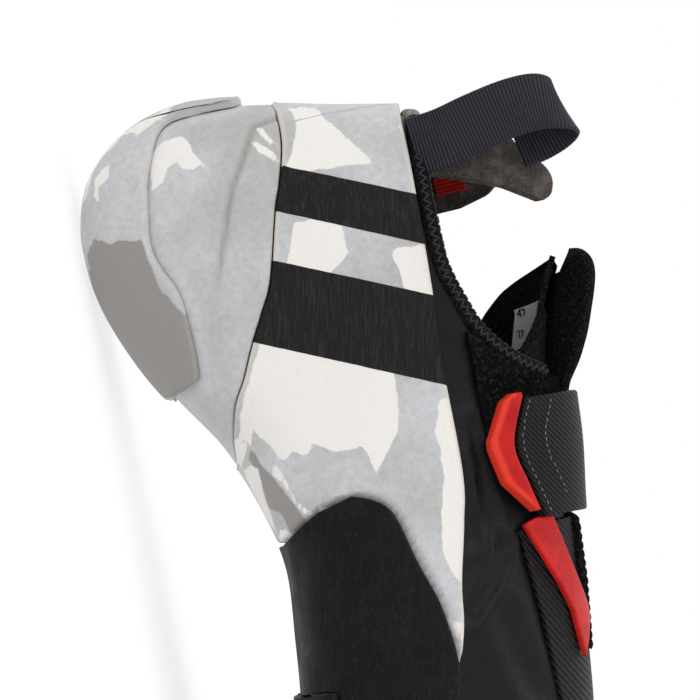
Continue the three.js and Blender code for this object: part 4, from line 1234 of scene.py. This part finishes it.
class SHOE_OT_upper(bpy.types.Operator):
    """Makes the hollow upper, its footbed and the knitted edge of the collar"""
    bl_idname = "shoe.upper"
    bl_label = "Upper"

    def execute(self, context):
        shell = Shell()
        rows = stations(None, None, 1.3)
        for side in (-1, 1):
            shell.wall(side, rows, top_line, None, 0.0, -UPPER_WALL, lip=0.5, slot=throat_half, pitch=1.6,
                       relief=upper_relief if side < 0 else None)
        skin = shell.make("upper_skin", smooth_synthetic("upper_skin", colours()))
        corners = np.zeros(len(skin.data.vertices) * 3)
        skin.data.vertices.foreach_get("co", corners)
        x, y, z = (corners.reshape(-1, 3) * 1000 - ORIGIN).T
        s = section(place_at(np.clip(x, 4, 259)))
        set_fact(skin.data, "inside", reach_at(s, z) - np.abs(y - s["middle"]) > UPPER_WALL / 2)
        dress(skin, "upper", "upper")

        bed = Shell()
        bed.walls(stations(FOOTBED_FROM, FOOTBED_TO, 1.5, free_start=True, free_end=True),
                  lambda x: section(place_at(x))["bottom"] + 5.0, None, -UPPER_WALL - 0.05, -UPPER_WALL - 0.8,
                  lip=0.4, pitch=1.5, ends=(True, True))
        dress(bed.make("footbed", felted("footbed", colours())), "footbed", "insole")

        near_p, near_t = topline_path(-1)
        far_p, far_t = topline_path(1)
        places = np.concatenate([far_p[::-1], near_p])
        turns = np.concatenate([0.5 - far_t[::-1], near_t])
        points, normals = on_last(turns, places), outward(turns, places)
        up = np.cross(np.gradient(points, axis=0), normals)
        up /= np.linalg.norm(up, axis=1, keepdims=True)
        up *= np.where(up[:, 2:3] < 0, -1, 1)
        middle = points - normals * 0.3 - up * 0.75
        run = run_of(middle)
        marks = np.linspace(0, run[-1], int(run[-1] / 0.45))
        middle, up = (np.stack([np.interp(marks, run, values[:, k]) for k in range(3)], 1)
                      for values in (middle, up))
        knit = collar_knitted("collar_knit", colours())
        edge = sweep("collar_edge_knit", knit, middle, up, rounded(3.3, 3.0, 1.4, 5))
        dress(edge, "knit", "collar_binding")

        ahead = np.gradient(middle, axis=0)
        ahead /= np.linalg.norm(ahead, axis=1, keepdims=True)
        up /= np.linalg.norm(up, axis=1, keepdims=True)
        out = np.cross(ahead, up)
        heart = np.array([0, section(place_at(middle[len(middle) // 2, 0]))["middle"], 0])
        out *= np.where(np.sum(out * (middle - heart) * (0, 1, 0), axis=1, keepdims=True) < 0, -1, 1)
        threads = []
        for i in range(2, len(middle) - 2, 2):
            if middle[i, 0] < STITCHES_FROM:
                continue
            slant = 1 if (i // 2) % 2 else -1
            threads.append((middle[i] + out[i] * 1.5, up[i] * 0.85 + ahead[i] * 0.6 * slant, 2.5, 0.5, out[i]))
            threads.append((middle[i] + up[i] * 1.55 + out[i] * 0.5, out[i] * 0.8 + ahead[i] * 0.4 * slant,
                            1.9, 0.62, up[i]))
        sewn = thread_field("collar_edge_stitches", thread("knit_thread", colours().knit_light), threads)
        dress(sewn, "knit")
        return {"FINISHED"}


class SHOE_OT_heel_opening(bpy.types.Operator):
    """Makes the felt pad, the small red tab and the pull loop at the heel"""
    bl_idname = "shoe.heel_opening"
    bl_label = "Heel pad and loop"

    def execute(self, context):
        s = sizes()
        outer, inner = LINING, LINING - s.tab_wall
        pad = Shell()
        pad.wall(-1, stations(TAB_FROM, TAB_NEAR_TO, 0.6, free_end=True), line(TAB_NEAR_TOP, COLLAR_HEIGHT),
                 straight(TAB_NEAR_LOW, COLLAR_HEIGHT), outer, inner, lip=0.9, pitch=0.7)
        pad.wall(1, stations(TAB_FROM, TAB_FAR_TO, 0.6, free_end=True), straight(TAB_FAR_TOP, COLLAR_HEIGHT),
                 straight(TAB_FAR_LOW, COLLAR_HEIGHT), outer, inner, lip=0.9, pitch=0.7, ends=(False, True))
        dress(pad.make("heel_pad_felt", felted("heel_felt", colours())), "felt", "heel_tab")

        tab = Shell()
        face = inner - GAP
        tab.wall(1, stations(TAPE_FROM, TAPE_TO, 0.3, True, True, lip=0.3),
                 lambda x: x * 0 + TAPE_TOP * COLLAR_HEIGHT, lambda x: x * 0 + TAPE_LOW * COLLAR_HEIGHT,
                 face, face - TAPE_WALL, lip=0.3, pitch=0.4, ends=(True, True))
        f = Finish("red_tape", 0.6, specular=0.3, sheen=0.1)
        ribs = f.slant((1, 0, 0), 0.8)
        f.paint(f.mix(f.between(ribs, -0.5, 1), colours().red_deep, colours().red_tape)).relief((ribs, 0.12))
        dress(tab.make("collar_tab_tape", f.material), "red_webbing", "collar_tab")

        # The loop stands on the near flank, in front of the back of the heel
        x, z = 0.074 * LENGTH, 0.985 * COLLAR_HEIGHT
        at = section(place_at(x))
        y = float(at["middle"] - reach_at(at, z)) - (2 * GAP + 1 + s.loop_wall / 2) * 1.25
        fine = spline(HEEL_LOOP_PATH, 14)
        middle = np.array([x, y, z]) + fine[:, :3] * s.loop_height
        across = np.tile([math.cos(LOOP_LEAN), -0.1, math.sin(LOOP_LEAN)], (len(fine), 1))
        loop = sweep("heel_loop_webbing", woven_webbing("heel_webbing", colours()), middle, across,
                     rounded(s.loop_width, s.loop_wall, 0.5))
        dress(loop, "webbing", "heel_loop")
        return {"FINISHED"}


class SHOE_OT_tongue(bpy.types.Operator):
    """Makes the tongue and its pull loop"""
    bl_idname = "shoe.tongue"
    bl_label = "Tongue"

    def execute(self, context):
        s = sizes()
        knit = knitted("tongue_knit", colours(), 0.8)
        face = LINING - s.tongue_wall
        tongue = Shell()
        rows = stations(TONGUE_FROM, TONGUE_TO, 0.8, free_start=True, free_end=True)
        for side, rim in ((-1, TONGUE_NEAR_RIM), (1, TONGUE_FAR_RIM)):
            tongue.wall(side, rows, None, line(rim, INSTEP_HEIGHT), LINING, face, lip=0.9, pitch=0.8,
                        ends=(True, True))
        dress(tongue.make("tongue_knit", knit), "knit", "tongue")

        patch = Shell()
        patch.wall(1, stations(LABEL_FROM, LABEL_TO, 0.5, True, True, lip=0.2), line(LABEL_TOP, INSTEP_HEIGHT),
                   line(LABEL_LOW, INSTEP_HEIGHT), face - 0.02, face - 0.22, lip=0.1, pitch=0.6, ends=(True, True))
        cloth = Finish("size_patch", 0.8, specular=0.1)
        cloth.paint(cloth.mix(cloth.noise(0.0008, 3), colours().label, colours().label_shade))
        cloth.relief((cloth.noise(0.0004, 3), 0.05))
        dress(patch.make("size_patch_cloth", cloth.material), "knit")
        ink = Finish("size_ink", 0.7, specular=0.1)
        worn = ink.between(ink.noise(0.0003, 3), 0.6, 0.8, 0, 0.4)
        ink.paint(ink.mix(worn, colours().label_ink, colours().label_shade))
        for name, words, x, z, tall in NUMERALS:
            bpy.ops.object.select_all(action="DESELECT")
            bpy.ops.object.text_add()
            numerals = bpy.context.active_object
            numerals.name = name
            numerals.data.body, numerals.data.size, numerals.data.extrude = words, tall / 1000, 0.00006
            numerals.data.align_x = numerals.data.align_y = "CENTER"
            bpy.ops.object.convert(target="MESH")
            spot = near_point(1, x, z, face - 0.34)
            slope = near_point(1, x, z + 1, face - 0.34) - near_point(1, x, z - 1, face - 0.34)
            right = Vector((0.21, slope[1] / 2, 0.978)).normalized()
            way_out = Vector((0, -1, slope[1] / 2)).normalized()
            numerals.matrix_world = turned_to(right, way_out.cross(right).normalized(), way_out, to_frame(spot))
            bpy.ops.object.transform_apply(location=True, rotation=True, scale=True)
            numerals.data.materials.append(ink.material)
            dress(numerals, "knit")

        fine = spline(TONGUE_LOOP_PATH, 10)
        x = fine[:, 0] * LENGTH
        at = section(place_at(x))
        seat = at["top"] + LINING + GAP + s.pull_wall / 2
        middle = np.stack([x, at["middle"], seat + fine[:, 1] * s.pull_rise], 1)
        share = np.linspace(0, 1, len(x))
        loop = sweep("tongue_loop_knit", knit, middle, np.tile([0.0, 0.75, -0.66], (len(x), 1)),
                     rounded(s.pull_width, s.pull_wall, 1.1),
                     0.75 + 0.25 * smoothstep(share, 0, 0.2) - 0.5 * smoothstep(share, 0.65, 1))
        dress(loop, "knit", "tongue_loop")
        return {"FINISHED"}


class SHOE_OT_closure(bpy.types.Operator):
    """Makes the loop patch, the strap with its tip, and the pieces of the instep"""
    bl_idname = "shoe.closure"
    bl_label = "Strap and instep"

    def execute(self, context):
        s = sizes()
        patch = Shell()
        patch.wall(-1, stations(PATCH_FROM, PATCH_TO, 0.4, True, True), lambda x: np.minimum(top_line(x) - 2.3, FAR),
                   lambda x: rand_line(x) + 6.2, GAP + PATCH_WALL, GAP, lip=0.7, pitch=0.4, slot=throat_half,
                   ends=(True, True), relief=pile_relief)
        dress(patch.make("loop_patch_pile", fleece("loop_fleece", colours())), "loop_fleece", "touch_patch")

        draw = np.random.RandomState(11)
        curls = []
        while len(curls) < CURLS:
            x = draw.uniform(CURLS_FROM, CURLS_TO) * LENGTH
            low = float(rand_line(x)) + 6.4
            high = min(float(top_line(x)) - 2.4, float(section(place_at(x))["top"]) - 2)
            z = draw.uniform(low, high)
            spot = near_point(-1, x, z, GAP + PATCH_WALL + draw.uniform(0.0, 0.35))
            way = draw.normal(size=3) * (1, 0.45, 1)
            curls.append((spot, way, draw.uniform(0.8, 1.7), 0.17, (0, -1, 0.2)))
        fuzz = Finish("pile_curls", 0.9, specular=0.1)
        fuzz.paint(fuzz.mix(fuzz.between(fuzz.noise(0.0009, 3), 0.45, 0.7), colours().knit, colours().fleece_light))
        dress(thread_field("loop_patch_curls", fuzz.material, curls), "loop_fleece")

        near_seat, far_seat = 2 * GAP + PATCH_WALL, GAP + OVERLAY_WALL

        def inside(n, x, z):
            """Over the pile on the near side, close to the upper on the far side."""
            return near_seat + (far_seat - 2 * GAP - PATCH_WALL) * smoothstep(n[..., 1], -0.2, 0.6)

        def outside(wall):
            return lambda n, x, z: inside(n, x, z) + wall

        strap = Shell()
        rows = stations(STRAP_FROM, STRAP_TO, 0.5, True, True)
        cloth = ribbed("strap_ribs", colours(), (-0.544, 0, 0.839), 0.8)
        strap.wall(-1, rows, None, line(STRAP_END, INSTEP_HEIGHT), outside(s.strap_wall), inside, lip=0.7, pitch=0.6,
                   ends=(True, True), base=near_seat + s.strap_wall)
        strap.wall(1, rows, None, lambda x: rand_line(x) + 2 * GAP, outside(s.strap_wall), inside, lip=0.7, pitch=0.6,
                   ends=(True, True), base=far_seat + s.strap_wall)
        dress(strap.make("strap_cloth", cloth), "strap", "strap")

        tip = Shell()
        tip.wall(-1, stations(TIP_FROM, TIP_TO, 0.4, True, True), line(STRAP_END, INSTEP_HEIGHT, rise=-GAP),
                 straight(STRAP_TIP_END, INSTEP_HEIGHT), outside(s.tip_wall), inside, lip=0.8, pitch=0.4,
                 ends=(True, True), base=near_seat + s.tip_wall)
        dress(tip.make("strap_tip_moulding", red_moulding("red_tip", colours(), 0.9)), "red_plastic", "strap_tip")

        spear = Shell()
        spear.wall(-1, stations(SPEAR_FROM, SPEAR_TO, 0.4, True, True), line(SPEAR_HIGH, INSTEP_HEIGHT),
                   straight(SPEAR_LOW, INSTEP_HEIGHT), 2.7, 1.5, lip=0.5, pitch=0.4, ends=(True, True))
        moulding = red_moulding("red_spear", colours(), 0.12)
        dress(spear.make("instep_spear_moulding", moulding), "red_plastic", "instep_spear")

        threads = []
        border = spline(STRAP_END, 40) * (LENGTH, INSTEP_HEIGHT)
        run = run_of(border)
        for inset in (1.3, 6.2):
            for mark in np.arange(1.2, run[-1] - 0.8, 1.5):
                (x, z), ahead = ([np.interp(at, run, border[:, k]) for k in (0, 1)] for at in (mark, mark + 0.5))
                nx, nz = ahead[0] - x, ahead[1] - z
                size = math.hypot(nx, nz)
                x, z = x - nz / size * inset * 0.3, z + nx / size * inset
                if z > section(place_at(x))["top"] or not SEWN_FROM * LENGTH < x < SEWN_TO * LENGTH:
                    continue
                spot = near_point(-1, x, z, near_seat + s.strap_wall + 0.02)
                threads.append((spot, (nx, 0, nz), 1.05, 0.26, (0, -1, 0.2)))
        dress(thread_field("strap_stitches", thread("strap_thread", colours().stitch), threads), "strap")

        x = np.linspace(TRIM_FROM, TRIM_TO, 90) * LENGTH
        at = section(place_at(x))
        bumps = 0.18 * np.sin(x * 2 * np.pi / 1.9)
        middle = np.stack([x, at["middle"] - 1.5, at["top"] + straight(TRIM_RISE, 1)(x) + bumps], 1)
        trim = sweep("throat_trim_knit", knitted("throat_knit", colours()), middle,
                     np.tile([0.0, 1.0, 0.0], (len(x), 1)), rounded(6.0, 2.0, 0.9),
                     1 - 0.6 * smoothstep(x, 0.46 * LENGTH, TRIM_TO * LENGTH))
        dress(trim, "knit")

        cover = Shell()
        cover.walls(stations(OVERLAY_FROM, OVERLAY_TO, 1.0, True, True), None, straight(OVERLAY_EDGE, INSTEP_HEIGHT),
                    GAP + OVERLAY_WALL, GAP, lip=0.4, pitch=1.0, slot=throat_half, ends=(True, True))
        cloth = ribbed("instep_ribs", colours(), (-0.48, 0, 0.877), 0.95)
        dress(cover.make("instep_cover_cloth", cloth), "overlay", "instep_overlay")
        return {"FINISHED"}


class SHOE_PT_panel(bpy.types.Panel):
    """Sizes, colours and pieces of the shoe"""
    bl_idname = "SHOE_PT_panel"
    bl_label = "Climbing shoe"
    bl_space_type = "VIEW_3D"
    bl_region_type = "UI"
    bl_category = "Shoe"

    def draw(self, context):
        for operator in STEPS:
            self.layout.operator(operator.bl_idname)
        for group in (context.scene.shoe_sizes, context.scene.shoe_colours):
            for name in type(group).__annotations__:
                self.layout.prop(group, name)


STEPS = (SHOE_OT_stage, SHOE_OT_rubber, SHOE_OT_upper, SHOE_OT_heel_opening, SHOE_OT_tongue, SHOE_OT_closure)
CLASSES = (ShoeColours, ShoeSizes) + STEPS + (SHOE_PT_panel,)


def register():
    for item in CLASSES:
        bpy.utils.register_class(item)
    bpy.types.Scene.shoe_colours = bpy.props.PointerProperty(type=ShoeColours)
    bpy.types.Scene.shoe_sizes = bpy.props.PointerProperty(type=ShoeSizes)


def unregister():
    del bpy.types.Scene.shoe_sizes
    del bpy.types.Scene.shoe_colours
    for item in reversed(CLASSES):
        bpy.utils.unregister_class(item)


def main():
    register()
    bpy.ops.shoe.stage()
    bpy.ops.shoe.rubber()
    bpy.ops.shoe.upper()
    bpy.ops.shoe.heel_opening()
    bpy.ops.shoe.tongue()
    bpy.ops.shoe.closure()


if __name__ == "__main__":
    main()
